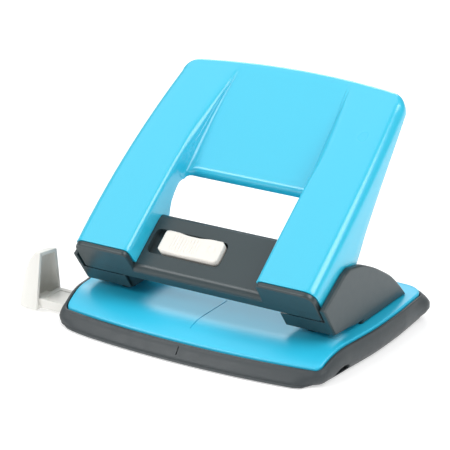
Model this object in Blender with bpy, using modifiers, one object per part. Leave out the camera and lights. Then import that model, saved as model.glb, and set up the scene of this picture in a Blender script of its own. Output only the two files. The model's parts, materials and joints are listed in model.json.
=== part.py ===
"""Two-hole office paper punch with a pressed steel base, raised lever handle and paper guide.

Frame: +X to the right, +Y away from the side where paper enters, +Z up. The origin is on the
plane of symmetry, on the underside of the chip tray. All lengths are in metres.
"""
import math

import bmesh
import bpy
from mathutils import Matrix, Vector

# Holes and paper
HOLE_PITCH = 0.080
PAPER_MARGIN = 0.012
STOP_Y = -0.001
PIN_X = HOLE_PITCH / 2
PIN_Y = STOP_Y - PAPER_MARGIN
PIN_R = 0.00275

# Gaps
GAP = 0.0003
RUNNING = 0.00006

# Base plate
PLATE_TOP = 0.0110
PLATE_SHEET = 0.0012
PLATE_FRONT = -0.0386
PLATE_BOW = 0.0046
PLATE_HALF_FRONT = 0.0543
PLATE_HALF = 0.0564
PLATE_REAR = 0.0425
PLATE_REAR_R = 0.0090
PLATE_FRONT_R = 0.0030
RAMP_DROP = 0.0045
RAMP_RUN = 0.0140
MARK_WIDTH = 0.0005
MARK_DEPTH = 0.00025
MARK_Y = (-0.0320, -0.0080)

# Chip tray
TRAY_FLOOR = 0.0012
TRAY_WALL = 0.0012
TRAY_FRONT = -0.0450
TRAY_HALF_FRONT = 0.0533
TRAY_HALF = 0.0562
TRAY_REAR = 0.0450
RIM_GAP = 0.0004
RIM_LOW = 0.0006
TRAY_BOW = 0.0045
TRAY_FRONT_R = 0.0055
TRAY_REAR_R = 0.0090
NOTCH_X = (0.0530, 0.0600)
NOTCH_Y = -0.0195
NOTCH_WIDTH = 0.0104
NOTCH_HEIGHT = 0.0030
RAIL_X = (-0.0515, 0.0480)
RAIL_THICK = 0.0011
RAIL_TOP = 0.0040
GUIDE_SLOT_X = (-0.0620, -0.0500)
GUIDE_SLOT_LIFT = 0.00005
TRAY_AXIS_Y = 0.0435
TRAY_AXIS_Z = 0.0104

# Paper guide
BAR_Y0 = -0.0310
BAR_Y1 = -0.0180
BAR_Z0 = 0.0015
BAR_Z1 = 0.0052
BAR_END = 0.0400
UPRIGHT_X = -0.0693
UPRIGHT_DEPTH = 0.0075
UPRIGHT_TOP = 0.0240
UPRIGHT_FOOT = 0.0009
UPRIGHT_WALL = 0.0013

# Handle skin: a gentle arc in side view, measured along it from the lower lip
LIP_Y = -0.0328
LIP_Z = 0.0337
SKIN_TILT = math.radians(38.2)
SKIN_CURL = math.radians(-6.2) / 0.090
SKIN = 0.0016
SKIN_EDGE_R = 0.0040
SKIN_TOP = 0.0879
SKIN_TOP_BOW = 0.0038
SKIN_CORNER_R = 0.0050
LEG_INNER = 0.0280
LEG_INNER_TOP = 0.0245
LEG_EDGE_R = 0.0030
PANEL_END = 0.0430
PANEL_START = 0.0860
PANEL_DEPTH = 0.0080
PANEL_FLARE = 0.0008
COLLAR_DEPTH = 0.0120
COLLAR_START = 0.0178
# (s, depth) of the foot of the outer walls
OUTER_WALL = ((0.0, 0.0143), (0.012, 0.0190), (0.0258, 0.0175), (0.035, 0.0138), (0.045, 0.0113),
              (0.060, 0.0084), (0.070, 0.0066), (0.080, 0.0042), (0.100, 0.0016))

# Handle frame
BEAM_DEPTH = 0.0080
BEAM_THICK = 0.0034
BEAM_BACK = 0.0222
BEAM_HALF = 0.0276
BEAM_FRONT_R = 0.0030
BEAM_BACK_R = 0.0008
FLANGE_DEPTH = 0.0130
FLANGE_THICK = 0.0016
FACE_BOTTOM_DEPTH = 0.0144
FACE_BACK_TOP = -0.0006
FACE_BACK_LOW = -0.0010
APRON_TOP = 0.0092
CAP_TOP = 0.0004
DECK_TOP = 0.0088
DECK_BOTTOM = 0.0110
DECK_BACK = 0.0150
CAP_OUTER = 0.0502
CAP_INNER = 0.0282
DECK_START = -0.0012
DECK_OUTER = 0.0485
RIB_THICK = 0.0016
RIB = ((0.0012, 0.0105), (0.0190, 0.0105), (0.0150, 0.0160), (0.0050, 0.0160))
EAR_THICK = 0.0013
EAR_FOOT_R = 0.0023
EAR_TOP = 0.0100
EAR_OFFSET = 0.00355

# Pivot and press roller
PIVOT_Y = -0.0220
PIVOT_Z = 0.0240
PIVOT_R = 0.0015
BOSS_R = 0.0030
ROLLER_ARM_Z = 0.0050
ROLLER_R = 0.0025
JOURNAL_R = 0.0012
SWING = math.radians(31.0)

# Punch bracket
BRACKET_SHEET = 0.0012
BRACKET_INSIDE = 0.0045
WEB_LOW = PLATE_TOP + GAP
WEB_HIGH = 0.0133
BRACKET_FRONT = -0.0194
BRACKET_REAR = 0.0235
RIVET_YS = (0.0060, 0.0170)
RIVET_R = 0.0015
RIVET_HEAD_R = 0.0028

# Punch pin, ring and spring
PIN_BOTTOM = 0.0137
PIN_TOP = PIVOT_Z + ROLLER_ARM_Z - ROLLER_R - GAP
RING_Z = 0.0244
RING_THICK = 0.0007
RING_R = 0.0040
GROOVE_R = 0.0021
SPRING_R = 0.00355
WIRE_R = 0.0004
SPRING_TURNS = 4.0

# Side covers
CHEEK_OUT = 0.0532
CHEEK_IN = 0.0512
COVER_INNER = 0.0330
COVER_WALL = 0.0010
COVER_FRONT_WALL = 0.0014
ROOF_Z = 0.0195
ROOF_THICK = 0.0012
COVER_OVERLAP = 0.0010

# Screws that hold the handle cover on the frame
SCREW_S = 0.0085
SCREW_R = 0.0011
SCREW_BOSS_R = 0.0026

# Lock
SLIDER_X0 = -0.0190
SLIDER_X1 = 0.0050
SLIDER_S0 = 0.0054
SLIDER_S1 = 0.0148
SLIDER_TRAVEL = 0.0043
SLIDER_PROUD = 0.0018
SLIDER_CORNER_R = 0.0020
RECESS_DEPTH = 0.0021
STEM_X0 = -0.0122
STEM_X1 = -0.0036
STEM_S0 = 0.0084
STEM_S1 = 0.0118
ROD_S = 0.0101
ROD_DEPTH = 0.0134
ROD_R = 0.0010
ROD_END = -0.0313

SIDES = {"left": -1.0, "right": 1.0}

PARTS = "hole_punch"
CUTTERS = "cutters"


# ---------------------------------------------------------------- helpers

def clear_scene():
    for obj in list(bpy.data.objects):
        bpy.data.objects.remove(obj, do_unlink=True)


def collection(name):
    found = bpy.data.collections.get(name)
    if found is None:
        found = bpy.data.collections.new(name)
        bpy.context.scene.collection.children.link(found)
    return found


def material(name, colour, roughness, metallic=0.0):
    mat = bpy.data.materials.new(name)
    mat.use_nodes = True
    shader = mat.node_tree.nodes["Principled BSDF"]
    shader.inputs["Base Color"].default_value = (*colour, 1.0)
    shader.inputs["Roughness"].default_value = roughness
    shader.inputs["Metallic"].default_value = metallic
    mat.diffuse_color = (*colour, 1.0)
    return mat


def add_part(name, mesh, mat):
    obj = bpy.data.objects.new(name, mesh)
    collection(PARTS).objects.link(obj)
    mesh.materials.clear()
    mesh.materials.append(mat)
    return obj


def shade(mesh, angle=35.0):
    mesh.shade_smooth()
    mesh.set_sharp_from_angle(angle=math.radians(angle))


def bmesh_to_mesh(bm, name):
    bmesh.ops.recalc_face_normals(bm, faces=bm.faces)
    mesh = bpy.data.meshes.new(name)
    bm.to_mesh(mesh)
    bm.free()
    return mesh


def box_mesh(name, low, high):
    """Axis-aligned box between two corners."""
    bm = bmesh.new()
    bmesh.ops.create_cube(bm, size=1.0)
    for vert in bm.verts:
        for axis in range(3):
            vert.co[axis] = low[axis] if vert.co[axis] < 0 else high[axis]
    return bmesh_to_mesh(bm, name)


def rod_mesh(name, start, end, radius, segments=24):
    """Cylinder between two points."""
    start, end = Vector(start), Vector(end)
    bm = bmesh.new()
    bmesh.ops.create_cone(bm, cap_ends=True, segments=segments, radius1=radius,
                          radius2=radius, depth=(end - start).length)
    turn = (end - start).to_track_quat("Z", "Y").to_matrix().to_4x4()
    bmesh.ops.transform(bm, matrix=Matrix.Translation((start + end) / 2) @ turn, verts=bm.verts)
    mesh = bmesh_to_mesh(bm, name)
    shade(mesh)
    return mesh


def curve_to_mesh(curve, name, matrix):
    """Evaluates a curve object, welds its caps and returns the mesh in world space."""
    obj = bpy.data.objects.new(name + "_curve", curve)
    collection(CUTTERS).objects.link(obj)
    obj.matrix_world = matrix
    bpy.context.view_layer.update()
    graph = bpy.context.evaluated_depsgraph_get()
    mesh = bpy.data.meshes.new_from_object(obj.evaluated_get(graph))
    mesh.transform(matrix)
    bpy.data.objects.remove(obj, do_unlink=True)
    bm = bmesh.new()
    bm.from_mesh(mesh)
    bmesh.ops.remove_doubles(bm, verts=bm.verts, dist=0.000005)
    bmesh.ops.dissolve_limit(bm, angle_limit=math.radians(0.5), verts=bm.verts, edges=bm.edges)
    bmesh.ops.recalc_face_normals(bm, faces=bm.faces)
    bm.to_mesh(mesh)
    bm.free()
    mesh.name = name
    return mesh


def side_plate(name, outline, x0, x1):
    """Flat plate standing in a YZ plane between x0 and x1, cut to an outline of (y, z) points."""
    curve = bpy.data.curves.new(name, "CURVE")
    curve.dimensions = "2D"
    curve.fill_mode = "BOTH"
    curve.extrude = abs(x1 - x0) / 2
    spline = curve.splines.new("POLY")
    spline.points.add(len(outline) - 1)
    for point, (y, z) in zip(spline.points, outline):
        point.co = (y, z, 0.0, 1.0)
    spline.use_cyclic_u = True
    turn = Matrix(((0, 0, 1, (x0 + x1) / 2), (1, 0, 0, 0), (0, 1, 0, 0), (0, 0, 0, 1)))
    return curve_to_mesh(curve, name, turn)


def turned_mesh(name, profile, base, axis, segments=24):
    """Turned solid: (radius, height) pairs from top to bottom, swept round an axis at base."""
    mesh = bpy.data.meshes.new(name)
    bm = bmesh.new()
    verts = [bm.verts.new((radius, 0.0, height)) for radius, height in profile]
    for first, second in zip(verts, verts[1:]):
        bm.edges.new((first, second))
    bm.to_mesh(mesh)
    bm.free()
    obj = bpy.data.objects.new(name + "_profile", mesh)
    collection(CUTTERS).objects.link(obj)
    screw = obj.modifiers.new("Screw", "SCREW")
    screw.steps = segments
    screw.render_steps = segments
    screw.use_merge_vertices = True
    screw.merge_threshold = 0.000005
    bpy.context.view_layer.update()
    graph = bpy.context.evaluated_depsgraph_get()
    turned = bpy.data.meshes.new_from_object(obj.evaluated_get(graph))
    bpy.data.objects.remove(obj, do_unlink=True)
    turn = Vector(axis).to_track_quat("Z", "Y").to_matrix().to_4x4()
    turned.transform(Matrix.Translation(base) @ turn)
    bm = bmesh.new()
    bm.from_mesh(turned)
    bmesh.ops.remove_doubles(bm, verts=bm.verts, dist=0.000005)
    bmesh.ops.recalc_face_normals(bm, faces=bm.faces)
    bm.to_mesh(turned)
    bm.free()
    shade(turned)
    return turned


def boolean(target, mesh, operation):
    """Adds or removes another closed mesh, kept as a hidden wire object."""
    tool = bpy.data.objects.new(f"{target.name}_{operation.lower()}_{len(target.modifiers)}", mesh)
    collection(CUTTERS).objects.link(tool)
    tool.parent = target
    tool.hide_render = True
    tool.display_type = "WIRE"
    mod = target.modifiers.new(operation.title(), "BOOLEAN")
    mod.operation = operation
    mod.solver = "EXACT"
    mod.object = tool


def add_to(target, mesh):
    boolean(target, mesh, "UNION")


def cut_from(target, mesh):
    boolean(target, mesh, "DIFFERENCE")


def arc(centre, radius, start, end, steps):
    """Points on an arc, with angles in degrees from the first axis of the plane."""
    points = []
    for index in range(steps + 1):
        angle = math.radians(start + (end - start) * index / steps)
        points.append((centre[0] + radius * math.cos(angle), centre[1] + radius * math.sin(angle)))
    return points


# ---------------------------------------------------------------- shared shapes

def skin_tilt(s):
    return SKIN_TILT + SKIN_CURL * s


def skin_yz(s, depth):
    """Side-view point at length s along the handle's top arc, depth below it."""
    tilt = skin_tilt(s)
    y = LIP_Y + (math.sin(tilt) - math.sin(SKIN_TILT)) / SKIN_CURL
    z = LIP_Z - (math.cos(tilt) - math.cos(SKIN_TILT)) / SKIN_CURL
    return y + depth * math.sin(tilt), z - depth * math.cos(tilt)


def skin_point(x, s, depth):
    y, z = skin_yz(s, depth)
    return Vector((x, y, z))


def face_s(depth):
    """Position of the sloping front face of the frame, nearly square to the skin."""
    return -0.00205 - 0.06 * depth


def swung(y, z):
    """Side-view point of the handle after its full downward swing."""
    dy, dz = y - PIVOT_Y, z - PIVOT_Z
    return (PIVOT_Y + dy * math.cos(SWING) + dz * math.sin(SWING),
            PIVOT_Z - dy * math.sin(SWING) + dz * math.cos(SWING))


def plate_front(x):
    return PLATE_FRONT + PLATE_BOW * min(abs(x) / PLATE_HALF_FRONT, 1.0) ** 2.2


def plate_height(x, y):
    """Height of the base plate's top: flat, with a ramp that falls to the front edge."""
    run = y - plate_front(x)
    if run >= RAMP_RUN:
        return PLATE_TOP
    return PLATE_TOP - RAMP_DROP * (1.0 - max(run, 0.0) / RAMP_RUN) ** 2


def plan_outline(front, bow, half_front, half_side, rear, front_r, rear_r):
    """Right half of a plan outline, from the front centre round to the rear centre."""
    points = []
    for index in range(6):
        x = (half_front - front_r) * index / 6
        points.append((x, front + bow * (x / half_front) ** 2.2))
    corner_y = front + bow + front_r
    points += arc((half_front - front_r, corner_y), front_r, -80.0, 0.0, 4)
    side_end = rear - rear_r
    for index in range(1, 6):
        part = index / 6
        x = half_front + (half_side - half_front) * (1.0 - (1.0 - part) ** 3)
        points.append((x, corner_y + (side_end - corner_y) * part))
    points += arc((half_side - rear_r, side_end), rear_r, 0.0, 90.0, 6)
    points.append(((half_side - rear_r) / 2, rear))
    points.append((0.0, rear))
    return points


def full_loop(half):
    """Both halves of an outline, mirrored across x = 0."""
    return half + [(-x, y) for x, y in reversed(half[1:-1])]


# ---------------------------------------------------------------- base

def base_plate(mat):
    half = plan_outline(PLATE_FRONT, PLATE_BOW, PLATE_HALF_FRONT, PLATE_HALF, PLATE_REAR,
                        PLATE_FRONT_R, PLATE_REAR_R)
    insets = (0.0, 0.0035, 0.0075, 0.0140)
    bm = bmesh.new()
    rings = []
    for inset in insets:
        scale_x = 1.0 - inset / PLATE_HALF
        ring = []
        for x, y in full_loop(half):
            if inset > 0.0:
                y = y + inset if y < 0.0 else y - inset * y / PLATE_REAR
            ring.append(bm.verts.new((x * scale_x, y, plate_height(x * scale_x, y))))
        rings.append(ring)
    for outer, inner in zip(rings, rings[1:]):
        for index in range(len(outer)):
            following = (index + 1) % len(outer)
            bm.faces.new((outer[index], outer[following], inner[following], inner[index]))
    bm.faces.new(rings[-1])
    bmesh.ops.triangulate(bm, faces=[face for face in bm.faces if len(face.verts) > 4])
    mesh = bmesh_to_mesh(bm, "base_plate")
    shade(mesh)
    obj = add_part("base_plate", mesh, mat)
    solidify = obj.modifiers.new("Sheet", "SOLIDIFY")
    solidify.thickness = PLATE_SHEET
    solidify.offset = -1.0
    below, above = PLATE_TOP - 2 * PLATE_SHEET, PLATE_TOP + PLATE_SHEET
    for side in SIDES.values():
        x = side * PIN_X
        cut_from(obj, rod_mesh("die", (x, PIN_Y, below), (x, PIN_Y, above), PIN_R + RUNNING, 20))
        for y in RIVET_YS:
            cut_from(obj, rod_mesh("rivet_hole", (x, y, below), (x, y, above), RIVET_R + RUNNING, 12))
    mark_low = (-MARK_WIDTH / 2, MARK_Y[0], PLATE_TOP - MARK_DEPTH)
    cut_from(obj, box_mesh("centre_mark", mark_low, (MARK_WIDTH / 2, MARK_Y[1], above)))
    return obj


def chip_tray(mat):
    outer_low = plan_outline(TRAY_FRONT, TRAY_BOW, TRAY_HALF_FRONT, TRAY_HALF, TRAY_REAR,
                             TRAY_FRONT_R, TRAY_REAR_R)
    rim = TRAY_WALL + RIM_GAP
    outer_high = plan_outline(PLATE_FRONT - rim, PLATE_BOW, PLATE_HALF_FRONT + rim, PLATE_HALF + rim,
                              PLATE_REAR + rim, PLATE_FRONT_R + rim, PLATE_REAR_R + rim)
    bm = bmesh.new()
    loops = []
    for rise in (0.0, 0.5, 1.0):
        ring = []
        for low, high in zip(full_loop(outer_low), full_loop(outer_high)):
            x = low[0] + (high[0] - low[0]) * rise
            y = low[1] + (high[1] - low[1]) * rise
            top = plate_height(high[0], high[1]) - RIM_LOW
            ring.append(bm.verts.new((x, y, top * rise)))
        loops.append(ring)
    for lower, upper in zip(loops, loops[1:]):
        for index in range(len(lower)):
            following = (index + 1) % len(lower)
            bm.faces.new((lower[index], lower[following], upper[following], upper[index]))
    bm.faces.new(loops[0])
    mesh = bmesh_to_mesh(bm, "chip_tray")
    for polygon in mesh.polygons:
        if len(polygon.vertices) > 4 and polygon.normal.z > 0:
            mesh.flip_normals()
            break
    shade(mesh)
    obj = add_part("chip_tray", mesh, mat)
    solidify = obj.modifiers.new("Wall", "SOLIDIFY")
    solidify.thickness = TRAY_WALL
    solidify.offset = -1.0
    solidify.use_even_offset = True
    for y0, y1 in ((BAR_Y0 - GAP - RAIL_THICK, BAR_Y0 - GAP), (BAR_Y1 + GAP, BAR_Y1 + GAP + RAIL_THICK)):
        add_to(obj, box_mesh("rail", (RAIL_X[0], y0, TRAY_FLOOR / 2), (RAIL_X[1], y1, RAIL_TOP)))
    slot_low = (GUIDE_SLOT_X[0], BAR_Y0 - GAP, TRAY_FLOOR + GUIDE_SLOT_LIFT)
    slot_high = (GUIDE_SLOT_X[1], BAR_Y1 + GAP, BAR_Z1 + GAP)
    cut_from(obj, box_mesh("guide_slot", slot_low, slot_high))
    arch = [(NOTCH_Y - NOTCH_WIDTH / 2, -TRAY_FLOOR), (NOTCH_Y + NOTCH_WIDTH / 2, -TRAY_FLOOR)]
    for index in range(7):
        angle = math.pi * index / 6
        arch.append((NOTCH_Y + NOTCH_WIDTH / 2 * math.cos(angle), NOTCH_HEIGHT * math.sin(angle)))
    cut_from(obj, side_plate("finger_notch", arch, *NOTCH_X))
    return obj


def paper_guide(mat):
    """Shell upright, open towards the tray, on a flat bar."""
    levels = 5
    bm = bmesh.new()
    rings = []
    for level in range(levels + 1):
        part = level / levels
        z = UPRIGHT_FOOT + (UPRIGHT_TOP - UPRIGHT_FOOT) * part
        front = -0.0329 + 0.0033 * part
        rear = -0.0168 - 0.0020 * part
        depth = UPRIGHT_DEPTH * (1.0 - 0.72 * part ** 1.6)
        ring = [(UPRIGHT_X, front), (UPRIGHT_X - depth * 0.72, front + 0.0004)]
        ring += [(UPRIGHT_X - depth * 0.95, front + 0.0022), (UPRIGHT_X - depth, (front + rear) / 2)]
        ring += [(UPRIGHT_X - depth * 0.95, rear - 0.0022), (UPRIGHT_X - depth * 0.72, rear - 0.0004)]
        ring += [(UPRIGHT_X, rear)]
        rings.append([bm.verts.new((x, y, z)) for x, y in ring])
    for lower, upper in zip(rings, rings[1:]):
        for index in range(len(lower) - 1):
            bm.faces.new((lower[index], lower[index + 1], upper[index + 1], upper[index]))
    bm.faces.new(rings[-1])
    bm.faces.new(rings[0])
    mesh = bmesh_to_mesh(bm, "paper_guide")
    centre = Vector((UPRIGHT_X, (BAR_Y0 + BAR_Y1) / 2, UPRIGHT_TOP / 2))
    if sum((face.center - centre).dot(face.normal) * face.area for face in mesh.polygons) < 0:
        mesh.flip_normals()
    shade(mesh)
    obj = add_part("paper_guide", mesh, mat)
    solidify = obj.modifiers.new("Wall", "SOLIDIFY")
    solidify.thickness = UPRIGHT_WALL
    solidify.offset = -1.0
    solidify.use_even_offset = True
    bar_start = UPRIGHT_X - UPRIGHT_DEPTH * 0.6
    add_to(obj, box_mesh("bar", (bar_start, BAR_Y0, BAR_Z0), (BAR_END, BAR_Y1, BAR_Z1)))
    return obj


# ---------------------------------------------------------------- punch units

def bracket_walls():
    """Side-view outline of the bracket's upright walls."""
    hole_y, hole_z = swung(*skin_yz(ROD_S, ROD_DEPTH))
    points = arc((PIVOT_Y, PIVOT_Z), BOSS_R, 235.0, 60.0, 8)
    points += arc((hole_y, hole_z), 0.0023, 140.0, 20.0, 5)
    points += [(-0.0060, 0.0177), (0.0120, 0.0160), (BRACKET_REAR, 0.0130)]
    points += [(BRACKET_REAR, WEB_LOW), (STOP_Y, WEB_LOW), (STOP_Y, WEB_HIGH), (BRACKET_FRONT, WEB_HIGH)]
    return points


def punch_bracket(name, side, mat):
    inner, outer = PIN_X - BRACKET_INSIDE, PIN_X + BRACKET_INSIDE
    sheet = BRACKET_SHEET
    web = [(BRACKET_FRONT, WEB_HIGH), (STOP_Y, WEB_HIGH), (STOP_Y, WEB_LOW), (BRACKET_REAR, WEB_LOW)]
    web += [(BRACKET_REAR, WEB_LOW + sheet), (STOP_Y + sheet, WEB_LOW + sheet)]
    web += [(STOP_Y + sheet, WEB_HIGH + sheet), (BRACKET_FRONT, WEB_HIGH + sheet)]
    reach = sheet / 2
    mesh = side_plate(name, web, side * (inner - reach), side * (outer + reach))
    obj = add_part(name, mesh, mat)
    add_to(obj, side_plate("wall_a", bracket_walls(), side * (inner - sheet), side * inner))
    add_to(obj, side_plate("wall_b", bracket_walls(), side * outer, side * (outer + sheet)))
    x = side * PIN_X
    cut_from(obj, rod_mesh("guide_hole", (x, PIN_Y, 0.0125), (x, PIN_Y, 0.0155), PIN_R + RUNNING, 20))
    for y in RIVET_YS:
        cut_from(obj, rod_mesh("rivet_hole", (x, y, 0.0105), (x, y, 0.0135), RIVET_R + RUNNING, 12))
    ends = (side * 0.0330, side * 0.0480)
    cut_from(obj, rod_mesh("axle_hole", (ends[0], PIVOT_Y, PIVOT_Z), (ends[1], PIVOT_Y, PIVOT_Z),
                           PIVOT_R + RUNNING, 16))
    hole_y, hole_z = swung(*skin_yz(ROD_S, ROD_DEPTH))
    cut_from(obj, rod_mesh("lock_hole", (ends[0], hole_y, hole_z), (ends[1], hole_y, hole_z),
                           ROD_R + GAP, 12))
    return obj


def rivet(name, side, y, mat):
    low = PLATE_TOP - PLATE_SHEET - GAP
    high = WEB_LOW + BRACKET_SHEET + GAP
    profile = [(0.0, high + 0.0012), (RIVET_HEAD_R * 0.6, high + 0.0010), (RIVET_HEAD_R, high)]
    profile += [(RIVET_R, high), (RIVET_R, low), (RIVET_HEAD_R, low), (RIVET_HEAD_R * 0.8, low - 0.0008)]
    profile += [(0.0, low - 0.0009)]
    return add_part(name, turned_mesh(name, profile, (side * PIN_X, y, 0.0), (0, 0, 1), 12), mat)


def pivot_pin(name, side, mat):
    start = side * (PIN_X - BRACKET_INSIDE - BRACKET_SHEET - GAP)
    end = side * (PIN_X + BRACKET_INSIDE + BRACKET_SHEET + 0.0006)
    mesh = rod_mesh(name, (start, PIVOT_Y, PIVOT_Z), (end, PIVOT_Y, PIVOT_Z), PIVOT_R, 16)
    return add_part(name, mesh, mat)


def punch_pin(name, side, mat):
    """Hardened pin with a groove for its ring and a concave cutting end."""
    groove_top = RING_Z + RING_THICK / 2 + GAP / 2
    groove_low = RING_Z - RING_THICK / 2 - GAP / 2
    profile = [(0.0, PIN_TOP), (PIN_R - 0.0006, PIN_TOP), (PIN_R, PIN_TOP - 0.0006)]
    profile += [(PIN_R, groove_top), (GROOVE_R, groove_top), (GROOVE_R, groove_low), (PIN_R, groove_low)]
    profile += [(PIN_R, PIN_BOTTOM), (0.0, PIN_BOTTOM + 0.0012)]
    mesh = turned_mesh(name, profile, (side * PIN_X, PIN_Y, 0.0), (0, 0, 1), 20)
    return add_part(name, mesh, mat)


def retaining_ring(name, side, mat):
    """E-shaped clip in the pin's groove, open at the back."""
    x = side * PIN_X
    low, high = RING_Z - RING_THICK / 2, RING_Z + RING_THICK / 2
    obj = add_part(name, rod_mesh(name, (x, PIN_Y, low), (x, PIN_Y, high), RING_R, 24), mat)
    cut_from(obj, rod_mesh("bore", (x, PIN_Y, low - 0.001), (x, PIN_Y, high + 0.001),
                           GROOVE_R + RUNNING, 20))
    mouth = GROOVE_R * 0.8
    cut_from(obj, box_mesh("mouth", (x - mouth, PIN_Y, low - 0.001),
                           (x + mouth, PIN_Y + RING_R * 1.5, high + 0.001)))
    return obj


def return_spring(name, side, mat):
    """Compression coil between the bracket's web and the ring."""
    low = WEB_HIGH + BRACKET_SHEET + GAP + WIRE_R
    high = RING_Z - RING_THICK / 2 - GAP - WIRE_R
    per_turn = 14
    total = int(SPRING_TURNS * per_turn)
    curve = bpy.data.curves.new(name, "CURVE")
    curve.dimensions = "3D"
    curve.bevel_depth = WIRE_R
    curve.bevel_resolution = 1
    curve.use_fill_caps = True
    spline = curve.splines.new("POLY")
    spline.points.add(total)
    for index, point in enumerate(spline.points):
        angle = side * 2 * math.pi * index / per_turn
        height = low + (high - low) * index / total
        point.co = (side * PIN_X + SPRING_R * math.cos(angle), PIN_Y + SPRING_R * math.sin(angle),
                    height, 1.0)
    mesh = curve_to_mesh(curve, name, Matrix.Identity(4))
    shade(mesh, 60.0)
    return add_part(name, mesh, mat)


def side_cover(name, side, mat):
    """Moulded cover: outer cheek, front and inner walls, and a low roof behind the pin."""
    cheek = [(-0.0299, 0.0260), (-0.0130, 0.0350)]
    cheek += arc((-0.0106, 0.0322), 0.0036, 118.0, 75.0, 4)
    cheek += [(-0.0012, 0.0328), (0.0061, 0.0300), (0.0159, 0.0249), (0.0225, 0.0203)]
    cheek += [(0.0275, 0.0160), (0.0319, PLATE_TOP + GAP), (STOP_Y, PLATE_TOP + GAP)]
    cheek += [(STOP_Y, 0.0124), (-0.0060, 0.0125), (-0.0115, 0.0134), (-0.0216, 0.0141)]
    mesh = side_plate(name, cheek, side * CHEEK_IN, side * CHEEK_OUT)
    obj = add_part(name, mesh, mat)
    wall = COVER_FRONT_WALL
    front = [(-0.0216, 0.0141), (-0.0216 + wall, 0.0140), (-0.0259 + wall * 1.3, 0.0202), (-0.0259, 0.0202)]
    add_to(obj, side_plate("front", front, side * COVER_INNER, side * (CHEEK_IN + COVER_OVERLAP)))
    inner = [(-0.0216 + wall / 2, 0.0140), (STOP_Y, 0.0140), (STOP_Y, PLATE_TOP + GAP)]
    inner += [(0.0300, PLATE_TOP + GAP), (0.0300, 0.0122), (0.0130, ROOF_Z), (-0.0030, ROOF_Z)]
    inner += [(-0.0060, 0.0202), (-0.0252, 0.0202)]
    add_to(obj, side_plate("inner", inner, side * COVER_INNER, side * (COVER_INNER + COVER_WALL)))
    roof = [(-0.0030, ROOF_Z), (0.0130, ROOF_Z), (0.0302, 0.0122), (0.0302, PLATE_TOP + GAP)]
    roof += [(0.0288, PLATE_TOP + GAP), (0.0288, 0.0116)]
    roof += [(0.0126, ROOF_Z - ROOF_THICK), (-0.0030, ROOF_Z - ROOF_THICK)]
    add_to(obj, side_plate("roof", roof, side * (COVER_INNER + COVER_WALL / 5),
                           side * (CHEEK_IN + COVER_OVERLAP)))
    return obj


# ---------------------------------------------------------------- handle

def skin_half_width(s):
    part = s / 0.090
    return 0.0505 + 0.0029 * part - 0.0065 * part * part


def panel_depth(s):
    """Depth of the dished centre panel, nothing at the top and deepest at the window."""
    return PANEL_DEPTH * min(max((PANEL_START - s) / (PANEL_START - PANEL_END), 0.0), 1.0)


def wall_depth(s):
    """Depth of the handle's outer walls, which taper towards the pressed end."""
    for (s0, d0), (s1, d1) in zip(OUTER_WALL, OUTER_WALL[1:]):
        if s <= s1:
            return d0 + (d1 - d0) * max(s - s0, 0.0) / (s1 - s0)
    return OUTER_WALL[-1][1]


def inner_edge(s):
    """Inner edge of a leg, closing in slightly above the window."""
    part = min(max((s - PANEL_END) / (PANEL_START - PANEL_END), 0.0), 1.0)
    return LEG_INNER + (LEG_INNER_TOP - LEG_INNER) * part


def leg_section(s, half, drop):
    """Half section (x, depth) from the foot of the inner wall to the foot of the outer wall."""
    inner = inner_edge(s)
    radius = min(LEG_EDGE_R, drop * 0.9) if drop > 0.0 else LEG_EDGE_R
    flare = PANEL_FLARE if s >= PANEL_END else 0.0
    points = [(inner - flare, drop)]
    for step in range(4):
        angle = math.radians(90.0 * step / 3)
        rise = radius if drop > 0.0 else 0.0
        points.append((inner + LEG_EDGE_R * (1.0 - math.cos(angle)), rise * (1.0 - math.sin(angle))))
    foot = wall_depth(s)
    edge = min(SKIN_EDGE_R, foot * 0.8)
    for step in range(4):
        angle = math.radians(90.0 * step / 3)
        points.append((half - edge * (1.0 - math.sin(angle)), edge * (1.0 - math.cos(angle))))
    points.append((half, foot))
    return points


def handle_rows():
    """Stations along the skin: (s at the outer edge, half width, s bow factor)."""
    rows = [(s, skin_half_width(s), 0.0) for s in (0.0, 0.008, COLLAR_START - 0.0018, COLLAR_START, 0.030)]
    rows += [(s, skin_half_width(s), 0.0) for s in (PANEL_END, 0.054, 0.065, 0.075)]
    start = SKIN_TOP - SKIN_CORNER_R
    for angle in (0.0, 30.0, 60.0, 90.0):
        turn = math.radians(angle)
        s = start + SKIN_CORNER_R * math.sin(turn)
        half = skin_half_width(start) - SKIN_CORNER_R * (1.0 - math.cos(turn))
        rows.append((s, half, 0.25 + 0.75 * angle / 90.0))
    return rows


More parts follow.
